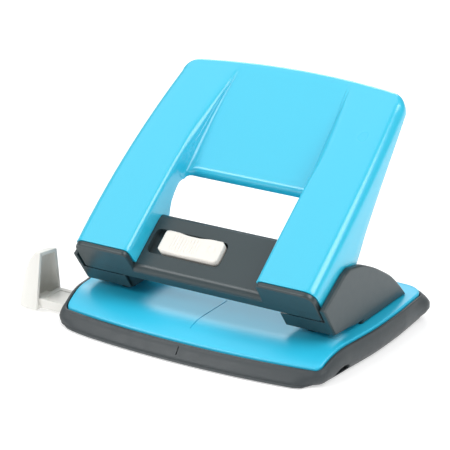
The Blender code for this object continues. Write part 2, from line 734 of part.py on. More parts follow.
def handle_cover(mat):
    bm = bmesh.new()
    panel_steps = 4
    previous = None
    for s, half, bow in handle_rows():
        windowed = s < PANEL_END
        if s < COLLAR_START:
            drop = BEAM_DEPTH + 0.0004
        elif windowed:
            drop = COLLAR_DEPTH
        else:
            drop = panel_depth(s)
        leg = leg_section(s, half, drop)
        row = []
        if not windowed:
            row = [(leg[0][0] * index / panel_steps, drop) for index in range(panel_steps)]
        row += leg
        verts = []
        for x, depth in row:
            along = s + bow * SKIN_TOP_BOW * (1.0 - (x / half) ** 2)
            verts.append(bm.verts.new(skin_point(x, along, depth)))
        if previous is not None:
            count = min(len(previous), len(verts))
            first, second = previous[-count:], verts[-count:]
            for index in range(count - 1):
                bm.faces.new((first[index], first[index + 1], second[index + 1], second[index]))
        if not windowed and previous is not None and len(previous) < len(verts):
            collar = [bm.verts.new(skin_point(x, s, COLLAR_DEPTH)) for x, depth in row[:panel_steps + 1]]
            for index in range(panel_steps):
                bm.faces.new((collar[index], collar[index + 1], verts[index + 1], verts[index]))
        previous = verts
    mesh = bmesh_to_mesh(bm, "handle_cover")
    if sum(face.normal.z * face.area for face in mesh.polygons) < 0:
        mesh.flip_normals()
    shade(mesh)
    obj = add_part("handle_cover", mesh, mat)
    mirror = obj.modifiers.new("Mirror", "MIRROR")
    mirror.merge_threshold = 0.000005
    solidify = obj.modifiers.new("Skin", "SOLIDIFY")
    solidify.thickness = SKIN
    solidify.offset = -1.0
    solidify.use_even_offset = True
    for side in SIDES.values():
        x = side * PIN_X
        top, foot = skin_point(x, SCREW_S, SKIN * 0.75), skin_point(x, SCREW_S, DECK_TOP - GAP)
        add_to(obj, rod_mesh("screw_boss", top, foot, SCREW_BOSS_R, 16))
        start, end = skin_point(x, SCREW_S, 0.0030), skin_point(x, SCREW_S, 0.0100)
        cut_from(obj, rod_mesh("screw_bore", start, end, SCREW_R + RUNNING, 12))
    return obj


def along_skin(outline):
    return [skin_yz(s, depth) for s, depth in outline]


def ear_outline():
    """Side-view outline of a hanger that joins deck, pivot and press roller."""
    pivot = (PIVOT_Y, PIVOT_Z)
    roller = (PIN_Y, PIVOT_Z + ROLLER_ARM_Z)
    points = [skin_yz(DECK_BACK, EAR_TOP), skin_yz(DECK_START, EAR_TOP)]
    points += arc(pivot, BOSS_R, 200.0, 300.0, 6)
    points += arc(roller, EAR_FOOT_R, 280.0, 385.0, 6)
    return points


def beam_section():
    """Closed channel section of the beam: rounded front edge, top, back flange."""
    front = face_s(BEAM_DEPTH)
    outline = [(face_s(FACE_BOTTOM_DEPTH), FACE_BOTTOM_DEPTH), (face_s(0.0112), 0.0112)]
    for degrees in (20.0, 45.0, 70.0, 90.0):
        angle = math.radians(degrees)
        outline.append((front + BEAM_FRONT_R * (1.0 - math.cos(angle)),
                        BEAM_DEPTH + BEAM_FRONT_R * (1.0 - math.sin(angle))))
    outline += [(BEAM_BACK - BEAM_BACK_R, BEAM_DEPTH), (BEAM_BACK, BEAM_DEPTH + BEAM_BACK_R)]
    outline += [(BEAM_BACK, FLANGE_DEPTH), (BEAM_BACK - FLANGE_THICK, FLANGE_DEPTH)]
    outline += [(BEAM_BACK - FLANGE_THICK, BEAM_DEPTH + BEAM_THICK), (FACE_BACK_TOP, BEAM_DEPTH + BEAM_THICK)]
    outline += [(FACE_BACK_LOW, FACE_BOTTOM_DEPTH)]
    return along_skin(outline)


def handle_frame(mat):
    mesh = side_plate("handle_frame", beam_section(), -BEAM_HALF, BEAM_HALF)
    obj = add_part("handle_frame", mesh, mat)
    lower_face = [(face_s(APRON_TOP), APRON_TOP), (FACE_BACK_TOP, APRON_TOP)]
    lower_face += [(FACE_BACK_LOW, FACE_BOTTOM_DEPTH), (face_s(FACE_BOTTOM_DEPTH), FACE_BOTTOM_DEPTH)]
    apron_half = CAP_OUTER - 0.0010
    add_to(obj, side_plate("apron", along_skin(lower_face), -apron_half, apron_half))
    deck = [(DECK_START, DECK_TOP), (DECK_BACK, DECK_TOP)]
    deck += [(DECK_BACK, DECK_BOTTOM), (DECK_START, DECK_BOTTOM)]
    for name, side in SIDES.items():
        cap = [(face_s(CAP_TOP), CAP_TOP), (-GAP, CAP_TOP), (-GAP, 0.0090), (-0.0009, DECK_BOTTOM)]
        cap += [(-0.0009, FACE_BOTTOM_DEPTH), (face_s(FACE_BOTTOM_DEPTH), FACE_BOTTOM_DEPTH)]
        cap_mesh = side_plate("cap", along_skin(cap), side * CAP_INNER, side * CAP_OUTER)
        round_cap(cap_mesh)
        add_to(obj, cap_mesh)
        add_to(obj, side_plate("deck", along_skin(deck), side * (BEAM_HALF - 0.0010), side * DECK_OUTER))
        for offset in (-EAR_OFFSET, EAR_OFFSET):
            x = side * PIN_X + offset
            add_to(obj, side_plate("ear", ear_outline(), x - EAR_THICK / 2, x + EAR_THICK / 2))
        rib_x = side * (BEAM_HALF - RIB_THICK)
        add_to(obj, side_plate("rib", along_skin(RIB), rib_x, side * BEAM_HALF))
        x = side * PIN_X
        near, far = x - 2 * EAR_OFFSET, x + 2 * EAR_OFFSET
        roller = (PIN_Y, PIVOT_Z + ROLLER_ARM_Z)
        for centre, radius in (((PIVOT_Y, PIVOT_Z), PIVOT_R), (roller, JOURNAL_R)):
            cut_from(obj, rod_mesh("bearing", (near, *centre), (far, *centre), radius + RUNNING, 16))
        start, end = skin_point(x, SCREW_S, 0.0080), skin_point(x, SCREW_S, 0.0120)
        cut_from(obj, rod_mesh("screw_way", start, end, SCREW_R + GAP, 12))
    recess_x0 = SLIDER_X0 - SLIDER_TRAVEL - GAP
    cut_from(obj, skin_box("recess", recess_x0, SLIDER_X1 + GAP, SLIDER_S0 - GAP, SLIDER_S1 + GAP,
                           BEAM_DEPTH - 0.0010, BEAM_DEPTH + RECESS_DEPTH, SLIDER_CORNER_R))
    cut_from(obj, skin_box("stem_slot", STEM_X0 - SLIDER_TRAVEL - GAP, STEM_X1 + GAP, STEM_S0 - GAP,
                           STEM_S1 + GAP, BEAM_DEPTH, BEAM_DEPTH + BEAM_THICK + 0.0010, 0.0))
    rod_y, rod_z = skin_yz(ROD_S, ROD_DEPTH)
    cut_from(obj, rod_mesh("rod_way", (-0.0300, rod_y, rod_z), (-0.0240, rod_y, rod_z),
                           ROD_R + RUNNING, 12))
    return obj


def round_cap(mesh):
    """Rounds the two long top edges of an end cap to match the leg's section."""
    bm = bmesh.new()
    bm.from_mesh(mesh)
    top = skin_yz(-0.0010, 0.0004)
    edges = [edge for edge in bm.edges
             if abs(edge.verts[0].co.x - edge.verts[1].co.x) < 1e-6
             and abs((edge.verts[0].co.y + edge.verts[1].co.y) / 2 - top[0]) < 0.0006
             and abs((edge.verts[0].co.z + edge.verts[1].co.z) / 2 - top[1]) < 0.0006]
    bmesh.ops.bevel(bm, geom=edges, offset=SKIN_EDGE_R - 0.0004, segments=4, profile=0.5, affect="EDGES")
    bm.to_mesh(mesh)
    bm.free()


def skin_box(name, x0, x1, s0, s1, depth0, depth1, corner):
    """Box lying square to the skin, with its upright corners rounded."""
    middle = (s0 + s1) / 2
    tilt = skin_tilt(middle)
    bm = bmesh.new()
    bmesh.ops.create_cube(bm, size=1.0)
    for vert in bm.verts:
        vert.co.x *= x1 - x0
        vert.co.y *= s1 - s0
        vert.co.z *= depth1 - depth0
    if corner > 0.0:
        upright = [edge for edge in bm.edges if abs(edge.verts[0].co.z - edge.verts[1].co.z) > 1e-6]
        bmesh.ops.bevel(bm, geom=upright, offset=corner, segments=3, profile=0.5, affect="EDGES")
    place = Matrix.Translation(skin_point((x0 + x1) / 2, middle, (depth0 + depth1) / 2))
    bmesh.ops.transform(bm, matrix=place @ Matrix.Rotation(tilt, 4, "X"), verts=bm.verts)
    return bmesh_to_mesh(bm, name)


def press_roller(name, side, mat):
    """Roller between the ears that pushes the pin down; a journal at each end."""
    body = EAR_OFFSET - EAR_THICK / 2 - 0.0002
    end = EAR_OFFSET + EAR_THICK / 2
    profile = [(0.0, end), (JOURNAL_R, end), (JOURNAL_R, body), (ROLLER_R, body), (ROLLER_R, -body)]
    profile += [(JOURNAL_R, -body), (JOURNAL_R, -end), (0.0, -end)]
    base = (side * PIN_X, PIN_Y, PIVOT_Z + ROLLER_ARM_Z)
    return add_part(name, turned_mesh(name, profile, base, (1, 0, 0), 16), mat)


def cover_screw(name, side, mat):
    x = side * PIN_X
    tip = 0.0035
    head = DECK_BOTTOM + GAP
    head_r = 2 * SCREW_R
    profile = [(0.0, -tip), (SCREW_R, -tip), (SCREW_R, -head), (head_r, -head), (head_r, -head - 0.0012)]
    profile += [(0.0, -head - 0.0014)]
    axis = (0.0, -math.sin(skin_tilt(SCREW_S)), math.cos(skin_tilt(SCREW_S)))
    mesh = turned_mesh(name, profile, skin_point(x, SCREW_S, 0.0), axis, 12)
    return add_part(name, mesh, mat)


def lock_slider(mat):
    top = BEAM_DEPTH - SLIDER_PROUD
    floor = BEAM_DEPTH + RECESS_DEPTH - GAP
    mesh = skin_box("lock_slider", SLIDER_X0, SLIDER_X1, SLIDER_S0, SLIDER_S1, top, floor, SLIDER_CORNER_R)
    obj = add_part("lock_slider", mesh, mat)
    stem_low = ROD_DEPTH + ROD_R + 0.0008
    add_to(obj, skin_box("stem", STEM_X0, STEM_X1, STEM_S0, STEM_S1, floor - GAP, stem_low, 0.0))
    rod_y, rod_z = skin_yz(ROD_S, ROD_DEPTH)
    cut_from(obj, rod_mesh("rod_bore", (-0.0200, rod_y, rod_z), (0.0, rod_y, rod_z), ROD_R + RUNNING, 12))
    return obj


def lock_rod(mat):
    """Steel rod under the slider that enters the left bracket when the handle is down."""
    rod_y, rod_z = skin_yz(ROD_S, ROD_DEPTH)
    mesh = rod_mesh("lock_rod", (ROD_END, rod_y, rod_z), (STEM_X1 + GAP, rod_y, rod_z), ROD_R, 12)
    return add_part("lock_rod", mesh, mat)


# ---------------------------------------------------------------- assembly

def hang(axis_name, point, names):
    """Parents the pieces that move together to an empty on their joint's axis."""
    empty = bpy.data.objects.new(axis_name, None)
    collection(PARTS).objects.link(empty)
    empty.location = point
    for name in names:
        piece = bpy.data.objects[name]
        piece.parent = empty
        piece.matrix_parent_inverse = Matrix.Translation(point).inverted()
    return empty


def hang_moving_pieces():
    handle = ["handle_cover", "handle_frame"]
    for word, side in SIDES.items():
        handle += [f"press_roller_{word}", f"cover_screw_{word}"]
        pin = (side * PIN_X, PIN_Y, PIN_BOTTOM)
        hang(f"pin_axis_{word}", pin, [f"punch_pin_{word}", f"retaining_ring_{word}"])
    handle_axis = hang("handle_axis", (0.0, PIVOT_Y, PIVOT_Z), handle)
    lock_axis = hang("lock_axis", skin_point(0.0, ROD_S, ROD_DEPTH), ["lock_slider", "lock_rod"])
    tray_axis = hang("tray_axis", (0.0, TRAY_AXIS_Y, TRAY_AXIS_Z), ["chip_tray"])
    guide_axis = hang("guide_axis", (0.0, (BAR_Y0 + BAR_Y1) / 2, (BAR_Z0 + BAR_Z1) / 2), ["paper_guide"])
    for child, parent in ((lock_axis, handle_axis), (guide_axis, tray_axis)):
        child.parent = parent
        child.matrix_parent_inverse = Matrix.Translation(parent.location).inverted()


def build():
    clear_scene()
    blue = material("blue_enamel", (0.07, 0.52, 0.80), 0.28)
    blue_steel = material("blue_steel", (0.07, 0.52, 0.80), 0.25)
    grey = material("grey_plastic", (0.085, 0.098, 0.105), 0.50)
    soft_grey = material("soft_grey_plastic", (0.10, 0.108, 0.115), 0.60)
    cream = material("cream_plastic", (0.90, 0.85, 0.76), 0.40)
    white = material("white_plastic", (0.88, 0.87, 0.82), 0.42)
    zinc = material("zinc_steel", (0.62, 0.63, 0.62), 0.35, 1.0)
    hard = material("hardened_steel", (0.50, 0.50, 0.50), 0.25, 1.0)
    wire = material("spring_wire", (0.45, 0.45, 0.46), 0.30, 1.0)

    base_plate(blue_steel)
    chip_tray(soft_grey)
    paper_guide(white)
    handle_cover(blue)
    handle_frame(grey)
    lock_slider(cream)
    lock_rod(hard)
    for word, side in SIDES.items():
        side_cover(f"side_cover_{word}", side, grey)
        punch_bracket(f"punch_bracket_{word}", side, zinc)
        for place, y in zip(("front", "rear"), RIVET_YS):
            rivet(f"bracket_rivet_{place}_{word}", side, y, zinc)
        pivot_pin(f"pivot_pin_{word}", side, hard)
        punch_pin(f"punch_pin_{word}", side, hard)
        retaining_ring(f"retaining_ring_{word}", side, zinc)
        return_spring(f"return_spring_{word}", side, wire)
        press_roller(f"press_roller_{word}", side, hard)
        cover_screw(f"cover_screw_{word}", side, zinc)
    hang_moving_pieces()


build()
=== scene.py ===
import json
import math

import bmesh
import bpy
from mathutils import Matrix, Vector


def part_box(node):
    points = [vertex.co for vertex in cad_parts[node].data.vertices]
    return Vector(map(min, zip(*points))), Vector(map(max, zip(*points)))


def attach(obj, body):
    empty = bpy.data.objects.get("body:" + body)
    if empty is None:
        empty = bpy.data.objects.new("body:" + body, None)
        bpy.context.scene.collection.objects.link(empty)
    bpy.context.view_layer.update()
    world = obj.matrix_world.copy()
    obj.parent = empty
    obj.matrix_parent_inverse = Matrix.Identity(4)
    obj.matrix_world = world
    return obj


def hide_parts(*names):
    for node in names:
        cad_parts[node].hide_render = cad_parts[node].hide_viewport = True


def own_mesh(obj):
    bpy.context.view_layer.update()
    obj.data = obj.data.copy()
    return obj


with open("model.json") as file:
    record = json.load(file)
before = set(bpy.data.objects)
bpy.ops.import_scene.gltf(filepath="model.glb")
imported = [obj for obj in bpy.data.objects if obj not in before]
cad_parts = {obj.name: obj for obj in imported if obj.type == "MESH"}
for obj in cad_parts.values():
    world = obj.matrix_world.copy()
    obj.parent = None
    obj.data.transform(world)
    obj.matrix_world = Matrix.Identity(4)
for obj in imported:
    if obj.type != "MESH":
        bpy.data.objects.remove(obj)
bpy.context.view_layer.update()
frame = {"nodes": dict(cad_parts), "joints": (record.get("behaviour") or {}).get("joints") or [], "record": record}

SIDES = {"left": -1.0, "right": 1.0}
JOINTS = {joint["name"]: joint for joint in frame["joints"]}

# Places read from the frame
PIVOT_Y, PIVOT_Z = JOINTS["handle_swing"]["pos_m"][1:]
PIN_LOW, PIN_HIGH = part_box("punch_pin_right")
PIN_X = (PIN_LOW.x + PIN_HIGH.x) / 2
PIN_Y = (PIN_LOW.y + PIN_HIGH.y) / 2
PLATE_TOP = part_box("base_plate")[1].z
SPRING_LOW, SPRING_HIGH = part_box("return_spring_right")
SLIDER_LOW, SLIDER_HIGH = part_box("lock_slider")
SLIDER_TRAVEL = JOINTS["lock_slide"]["range_m"][1]

RIGHT_ANGLE = math.radians(90.0)

# Handle skin: a gentle arc that starts at the lower lip
LIP_Y = -0.0328
LIP_Z = 0.0337
HANDLE_LENGTH = 0.090
SKIN_TILT = math.radians(38.2)
SKIN_CURL = math.radians(-6.2) / HANDLE_LENGTH
SKIN = 0.0016
SKIN_BREAK = 0.0003
HALF_WIDTH = 0.0505
HALF_WIDEN = 0.0029
HALF_TAPER = 0.0065
EDGE_R = 0.0040
END_EDGE_R = 0.0018
INNER_R = 0.0022
INNER_R_GROWTH = 0.0016
SKIN_TOP = 0.0888
BOW_START = 0.0600
TOP_BOW = 0.0038
TOP_CORNER_R = 0.0060
END_WALL = 0.0044
LEG_INNER = 0.0267
LEG_INNER_TOP = 0.0240
WALL_DRAFT = 0.0003
FOOT_SPLAY = 0.0008
# (s, depth) of the foot of the outer walls, and of the legs' inner walls beside the window
OUTER_WALL = ((0.0, 0.0143), (0.0120, 0.0190), (0.0240, 0.0174), (0.0360, 0.0136), (0.0480, 0.0108),
              (0.0600, 0.0086), (0.0720, 0.0068), (0.0840, 0.0051), (0.0960, 0.0040))
WINDOW_WALL = ((0.0226, 0.0134), (0.0250, 0.0126), (0.0286, 0.0098), (0.0330, 0.0084), (0.0365, 0.0080),
               (0.0380, 0.0084), (0.0392, 0.0091))
WALL_LEDGE = 0.0012
# s of the rows of the mesh, beside the window and over the panel
WINDOW_ROWS = (0.0, 0.0012, 0.0040, 0.0080, 0.0120, 0.0160, 0.0200, 0.0223, 0.0226, 0.0250, 0.0270, 0.0290,
               0.0320, 0.0345, 0.0365, 0.0380)
PANEL_ROWS = (0.0480, 0.0510, 0.0545, 0.0580, 0.0615, 0.0650, 0.0685, 0.0715, 0.0745, 0.0770, 0.0795)

# Centre panel and window
PANEL_END = 0.0430
PANEL_START = 0.0860
PANEL_DEPTH = 0.0080
PANEL_FILLET = 0.0042
LIP_R = 0.0031
LIP_FACE = 0.0009
LIP_FADE_X = 0.0225
LIP_FADE = 0.72
BEAM_CLEAR = 0.00785
WINDOW_CORNER_R = 0.0040
WINDOW_CORNER_FADE = (0.0460, 0.0600)
# how far into the leg the window's corner bends the rows
LEG_BLEND = (LEG_INNER + 0.0010, LEG_INNER + 0.0120)

# Cover screw bosses
BOSS_S = 0.0085
BOSS_BORE_R = 0.00125
BOSS_TIP_R = 0.0026
BOSS_ROOT_R = 0.0028
BOSS_ROOT = -0.0014
BOSS_TIP = -0.0085

# Handle frame
BEAM_DEPTH = 0.0080
BEAM_BACK = 0.0226
BEAM_HALF = 0.0276
BEAM_FLOOR = 0.0114
BEAM_WALL = 0.0016
BEAM_BACK_FOOT = 0.0130
BEAM_NOSE_R = 0.0031
BEAM_CHAMFER = (0.0014, 0.0011)
BEAM_CHAMFER_R = 0.0006
FACE_S = -0.00205
FACE_SLOPE = -0.06
FACE_DEPTH = 0.0144
FACE_BACK = (-0.0006, -0.0010)
APRON_TOP = 0.0106
CAP_INNER = 0.0271
CAP_OUTER = 0.0502
CAP_TOP = 0.0003
CAP_INNER_R = 0.0021
CAP_RIM = 0.0007
CAP_STEP = 0.0090
CAP_SEAT = -0.0009
DECK_END = 0.0150
DECK_TOP = 0.0088
DECK_FLOOR = 0.0110
DECK_OUTER = 0.0485
EAR_OFFSET = 0.00355
EAR_HALF = 0.00065
EAR_FOOT = 0.0100
GAP = 0.0003

# Lock slider and the recess that it slides in
RECESS_S = (0.0053, 0.0160)
RECESS_ENDS = (0.0018, 0.0008)
RECESS_FLOOR = BEAM_DEPTH + 0.0027
SLOT_S = (0.0081, 0.0121)
SLOT_ENDS = (0.0065, 0.0082)
SLOT_FLOOR = 0.0125
SLIDER_S = (0.0060, 0.0155)
SLIDER_X = (SLIDER_LOW.x - 0.0013, SLIDER_HIGH.x)
SLIDER_TOP = BEAM_DEPTH - 0.0018
SLIDER_FLOOR = BEAM_DEPTH + 0.0018
SLIDER_CORNER_R = 0.0022
SLIDER_EDGE = 0.0009
SLIDER_EDGE_RUN = 0.0011
SLIDER_WAIST = 0.0006
SLIDER_SCOOP = 0.00035
SLIDER_RIB = 0.00020
SLIDER_RIB_PITCH = 0.00125
DIMPLE_R = 0.0019
DIMPLE_DEPTH = 0.00035
DIMPLE_PLACE = 0.84
STEM_X = (-0.0122, -0.0036)
STEM_S = (0.0084, 0.0118)
STEM_FOOT = 0.0152
ROD_BORE_R = 0.00108
ROD_BORE_X = -0.0080
ROD_BORE_REACH = 0.0100

# Base
PLATE_FRONT = -0.0386
PLATE_BOW = 0.0046
PLATE_HALF_FRONT = 0.0543
PLATE_BOW_POWER = 2.2
PLATE_SHEET = 0.0012
PLATE_EDGE_R = 0.0007
PLATE_FRONT_R = 0.0024
PLATE_REAR_R = 0.0085
PLATE_REAR = 0.0412
PLATE_REAR_BOW = 0.0008
# (y, half width) of the plate's edge along its sides, behind the front corners
PLATE_SIDE = ((-0.0310, 0.0541), (-0.0234, 0.0551), (-0.0173, 0.0556), (-0.0100, 0.0564), (0.0006, 0.0573),
              (0.0150, 0.0575), (0.0230, 0.0572), (0.0340, 0.0566))
RAMP_DROP = 0.0045
RAMP_RUN = 0.0140
DIE_R = 0.0028
DIE_RIM_R = 0.0034
DIE_RIM = (0.0004, 0.0002)
RIVET_Y = (0.0060, 0.0170)
RIVET_HOLE_R = 0.00156
MARK_DEPTH = 0.00020
MARK_START = -0.0330
MARK_STEPS = 26
RIM_GAP = 0.0004
TRAY_WALL = 0.0012
TRAY_FLOOR = 0.0012
TRAY_BULGE = 0.0009
LOBE = 0.0016
RIM_DROP = 0.0006
REAR_DROP = 0.0010
FOOT_DRAW = 0.0016
FOOT_SHARE = 0.50
NOTCH_Y = -0.0226
NOTCH_HALF = 0.0044
NOTCH_FOOT = 0.0013
NOTCH_HEIGHT = 0.0029
NOTCH_X = (0.0470, 0.0620)
GUIDE_SLOT = ((-0.0640, -0.0313, 0.00125), (-0.0500, -0.0177, 0.0055))
RAIL_X = (-0.0515, 0.0480)
RAIL_TOP = 0.0040

# Paper guide
GUIDE_INNER_X = -0.0686
GUIDE_WALL = 0.0013
GUIDE_DEPTH = 0.0104
GUIDE_FRONT = (-0.0329, -0.0296)
GUIDE_REAR = (-0.0168, -0.0188)
GUIDE_MID_Y = -0.0242
GUIDE_TOP_DROP = 0.0012
GUIDE_TOP_SLOPE = 0.0013
GUIDE_ROLL = 0.0010
BAR_Y = (-0.0310, -0.0180)
BAR_Z = (0.0015, 0.0052)
HEEL_Y = (-0.0314, -0.0178)
HEEL_REACH = (0.0060, 0.0010)
HEEL_TOP = 0.0027
GROOVE_Y = (-0.0290, -0.0200)
GROOVE_FLOOR = 0.0049

# Side covers
CHEEK_IN = 0.0512
CHEEK_OUT = 0.0532
COVER_INNER = 0.0330
COVER_WALL = 0.0010
CHEEK_SOFT = 0.0011

# Return springs
WIRE_R = 0.0004
COIL_R = 0.00355
COIL_TURNS = 6.0

# Steel pieces
STEEL_BREAK = 0.00015

# View and light
CAMERA_AZIMUTH = math.radians(31.47)
CAMERA_ELEVATION = math.radians(21.39)
CAMERA_DISTANCE = 0.8107
CAMERA_LENS = 177.1
CAMERA_SHIFT = (-0.0300, 0.0462)
AIM = Vector((0.0, 0.0, 0.030))
# name: place, width and height in metres, and watts
LIGHTS = {
    "left_box": ((-0.62, -0.86, 0.70), 0.80, 0.36, 6.5),
    "top_box": ((-0.52, -0.10, 1.15), 1.20, 1.20, 5.0),
    "right_box": ((0.74, -0.10, 0.82), 0.45, 0.90, 7.5),
    "back_box": ((-0.62, 1.00, 0.88), 0.90, 0.40, 7.0),
}
WHITE_LIGHT = (1.0, 1.0, 1.0, 1.0)


# ---------------------------------------------------------------- helpers

def lerp(a, b, part):
    return a + (b - a) * part


def smooth(low, high, value):
    """0 below low, 1 above high and an S-curve between them."""
    part = min(max((value - low) / (high - low), 0.0), 1.0)
    return part * part * (3.0 - 2.0 * part)


def quarter(steps):
    """Angles from 0 to a right angle."""
    return [RIGHT_ANGLE * step / steps for step in range(steps + 1)]


def new_object(name, bm, mat, sharp=30.0):
    """Turns a bmesh into a linked object with smooth shading between its sharp edges."""
    mesh = bpy.data.meshes.new(name)
    bm.to_mesh(mesh)
    bm.free()
    mesh.materials.append(mat)
    obj = bpy.data.objects.new(name, mesh)
    bpy.context.scene.collection.objects.link(obj)
    shade(obj, sharp)
    return obj


def shade(obj, sharp=30.0):
    obj.data.shade_smooth()
    obj.data.set_sharp_from_angle(angle=math.radians(sharp))


def apply_modifiers(obj, sharp=30.0):
    """Gives the object the mesh that its modifiers make of it."""
    bpy.context.view_layer.update()
    graph = bpy.context.evaluated_depsgraph_get()
    mesh = bpy.data.meshes.new_from_object(obj.evaluated_get(graph))
    obj.modifiers.clear()
    obj.data = mesh
    shade(obj, sharp)


def add_bevel(obj, width, segments, angle):
    mod = obj.modifiers.new("Edges", "BEVEL")
    mod.width = width
    mod.segments = segments
    mod.limit_method = "ANGLE"
    mod.angle_limit = math.radians(angle)
    return mod


def bevel(obj, width, segments=2, angle=32.0):
    """Breaks the edges, and keeps the shading of the broad faces flat."""
    add_bevel(obj, width, segments, angle).miter_outer = "MITER_ARC"
    apply_modifiers(obj)
    normals = obj.modifiers.new("Normals", "WEIGHTED_NORMAL")
    normals.keep_sharp = True


def thicken(obj, thickness, edge, angle, sharp):
    """Gives an open surface its wall, with its edges broken."""
    solidify = obj.modifiers.new("Wall", "SOLIDIFY")
    solidify.thickness = thickness
    solidify.offset = -1.0
    solidify.use_quality_normals = True
    add_bevel(obj, edge, 2, angle)
    apply_modifiers(obj, sharp)


def boolean(obj, tools, operation):
    """Cuts the tools from the object, or joins them to it, and removes them."""
    for tool in tools:
        mod = obj.modifiers.new(operation.title(), "BOOLEAN")
        mod.operation = operation
        mod.solver = "EXACT"
        mod.object = tool
    apply_modifiers(obj)
    for tool in tools:
        bpy.data.objects.remove(tool, do_unlink=True)


def skin_faces(bm, rows, closed=False):
    """Quads between neighbouring rows of vertices."""
    for first, second in zip(rows, rows[1:]):
        count = len(first)
        for index in range(count if closed else count - 1):
            after = (index + 1) % count
            bm.faces.new((first[index], first[after], second[after], second[index]))


def rounded(corners, steps=5):
    """Closed outline with its corners rounded: each corner is (a, b, radius)."""
    points = []
    count = len(corners)
    for index, (a, b, radius) in enumerate(corners):
        here = Vector((a, b))
        if radius <= 0.0:
            points.append((a, b))
            continue
        before = (Vector(corners[index - 1][:2]) - here).normalized()
        after = (Vector(corners[(index + 1) % count][:2]) - here).normalized()
        half = before.angle(after) / 2
        reach = radius / math.tan(half)
        centre = here + (before + after).normalized() * (radius / math.sin(half))
        start = here + before * reach - centre
        turn = here + after * reach - centre
        total = start.angle_signed(turn)
        for step in range(steps + 1):
            angle = -total * step / steps
            cos, sin = math.cos(angle), math.sin(angle)
            points.append((centre.x + start.x * cos - start.y * sin,
                           centre.y + start.x * sin + start.y * cos))
    return points


def curve_through(points, steps):
    """Smooth open curve through points, by Catmull-Rom, with a number of steps per span."""
    ends = [points[0]] + list(points) + [points[-1]]
    result = []
    for p0, p1, p2, p3 in zip(ends, ends[1:], ends[2:], ends[3:]):
        for step in range(steps):
            t = step / steps
            result.append(tuple(0.5 * (2 * b + (c - a) * t + (2 * a - 5 * b + 4 * c - d) * t * t
                                       + (3 * b - a - 3 * c + d) * t ** 3)
                                for a, b, c, d in zip(p0, p1, p2, p3)))
    result.append(tuple(points[-1]))
    return result


def prism(name, outline, x0, x1, mat, slices=1):
    """Solid between two x planes from an outline of (y, z) points."""
    bm = bmesh.new()
    low, high = min(x0, x1), max(x0, x1)
    rows = [[bm.verts.new((lerp(low, high, part / slices), y, z)) for y, z in outline]
            for part in range(slices + 1)]
    skin_faces(bm, rows, closed=True)
    bm.faces.new(rows[0])
    bm.faces.new(rows[-1])
    bmesh.ops.recalc_face_normals(bm, faces=bm.faces)
    return new_object(name, bm, mat)


def box(name, low, high, mat):
    """Block between two corners, for cutting or as the start of a bevelled piece."""
    bm = bmesh.new()
    bmesh.ops.create_cube(bm, size=1.0)
    for vert in bm.verts:
        for axis in range(3):
            vert.co[axis] = low[axis] if vert.co[axis] < 0 else high[axis]
    return new_object(name, bm, mat)


def turned(name, profile, base, axis, mat, steps=40):
    """Turned solid from (radius, height) points: a closed outline, or one that ends on the axis."""
    bm = bmesh.new()
    place = Matrix.Translation(base) @ Vector(axis).to_track_quat("Z", "Y").to_matrix().to_4x4()
    rows = []
    for step in range(steps):
        angle = 2 * math.pi * step / steps
        rows.append([bm.verts.new(place @ Vector((r * math.cos(angle), r * math.sin(angle), h)))
                     for r, h in profile])
    rows.append(rows[0])
    skin_faces(bm, rows)
    bmesh.ops.remove_doubles(bm, verts=bm.verts, dist=1e-6)
    bmesh.ops.recalc_face_normals(bm, faces=bm.faces)
    return new_object(name, bm, mat)


# ---------------------------------------------------------------- materials

def node(tree, kind, **values):
    made = tree.nodes.new(kind)
    for key, value in values.items():
        setattr(made, key, value)
    return made


def noise(tree, coords, scale, stretch=None):
    """Noise value in object space, optionally stretched along an axis."""
    if stretch:
        mapping = node(tree, "ShaderNodeMapping")
        mapping.inputs["Scale"].default_value = stretch
        tree.links.new(coords, mapping.inputs["Vector"])
        coords = mapping.outputs["Vector"]
    made = node(tree, "ShaderNodeTexNoise")
    made.inputs["Scale"].default_value = scale
    made.inputs["Detail"].default_value = 2.0
    tree.links.new(coords, made.inputs["Vector"])
    return made.outputs["Fac"]


def spread(tree, value, low, high):
    """Maps a noise value onto a range."""
    made = node(tree, "ShaderNodeMapRange")
    made.inputs["From Min"].default_value = 0.2
    made.inputs["From Max"].default_value = 0.8
    made.inputs["To Min"].default_value = low
    made.inputs["To Max"].default_value = high
    tree.links.new(value, made.inputs["Value"])
    return made.outputs["Result"]


def finish_material(name, light, dark, rough, grain, depth, patch=60.0, metallic=0.0,
                    coat=0.0, coat_rough=0.1, stretch=None, specular=0.5):
    """Colour drifts between two tones, roughness varies, and a fine grain stands in the surface."""
    mat = bpy.data.materials.new(name)
    mat.use_nodes = True
    tree = mat.node_tree
    shader = tree.nodes["Principled BSDF"]
    coords = node(tree, "ShaderNodeTexCoord").outputs["Object"]
    tone = spread(tree, noise(tree, coords, patch), 0.0, 1.0)
    mix = node(tree, "ShaderNodeMix", data_type="RGBA")
    mix.inputs["A"].default_value = (*dark, 1.0)
    mix.inputs["B"].default_value = (*light, 1.0)
    tree.links.new(tone, mix.inputs["Factor"])
    tree.links.new(mix.outputs["Result"], shader.inputs["Base Color"])
    worn = spread(tree, noise(tree, coords, patch * 4.0, stretch), rough[0], rough[1])
    tree.links.new(worn, shader.inputs["Roughness"])
    bump = node(tree, "ShaderNodeBump")
    bump.inputs["Strength"].default_value = 1.0
    bump.inputs["Distance"].default_value = depth
    tree.links.new(noise(tree, coords, grain, stretch), bump.inputs["Height"])
    tree.links.new(bump.outputs["Normal"], shader.inputs["Normal"])
    shader.inputs["Metallic"].default_value = metallic
    shader.inputs["Specular IOR Level"].default_value = specular
    shader.inputs["Coat Weight"].default_value = coat
    shader.inputs["Coat Roughness"].default_value = coat_rough
    return mat


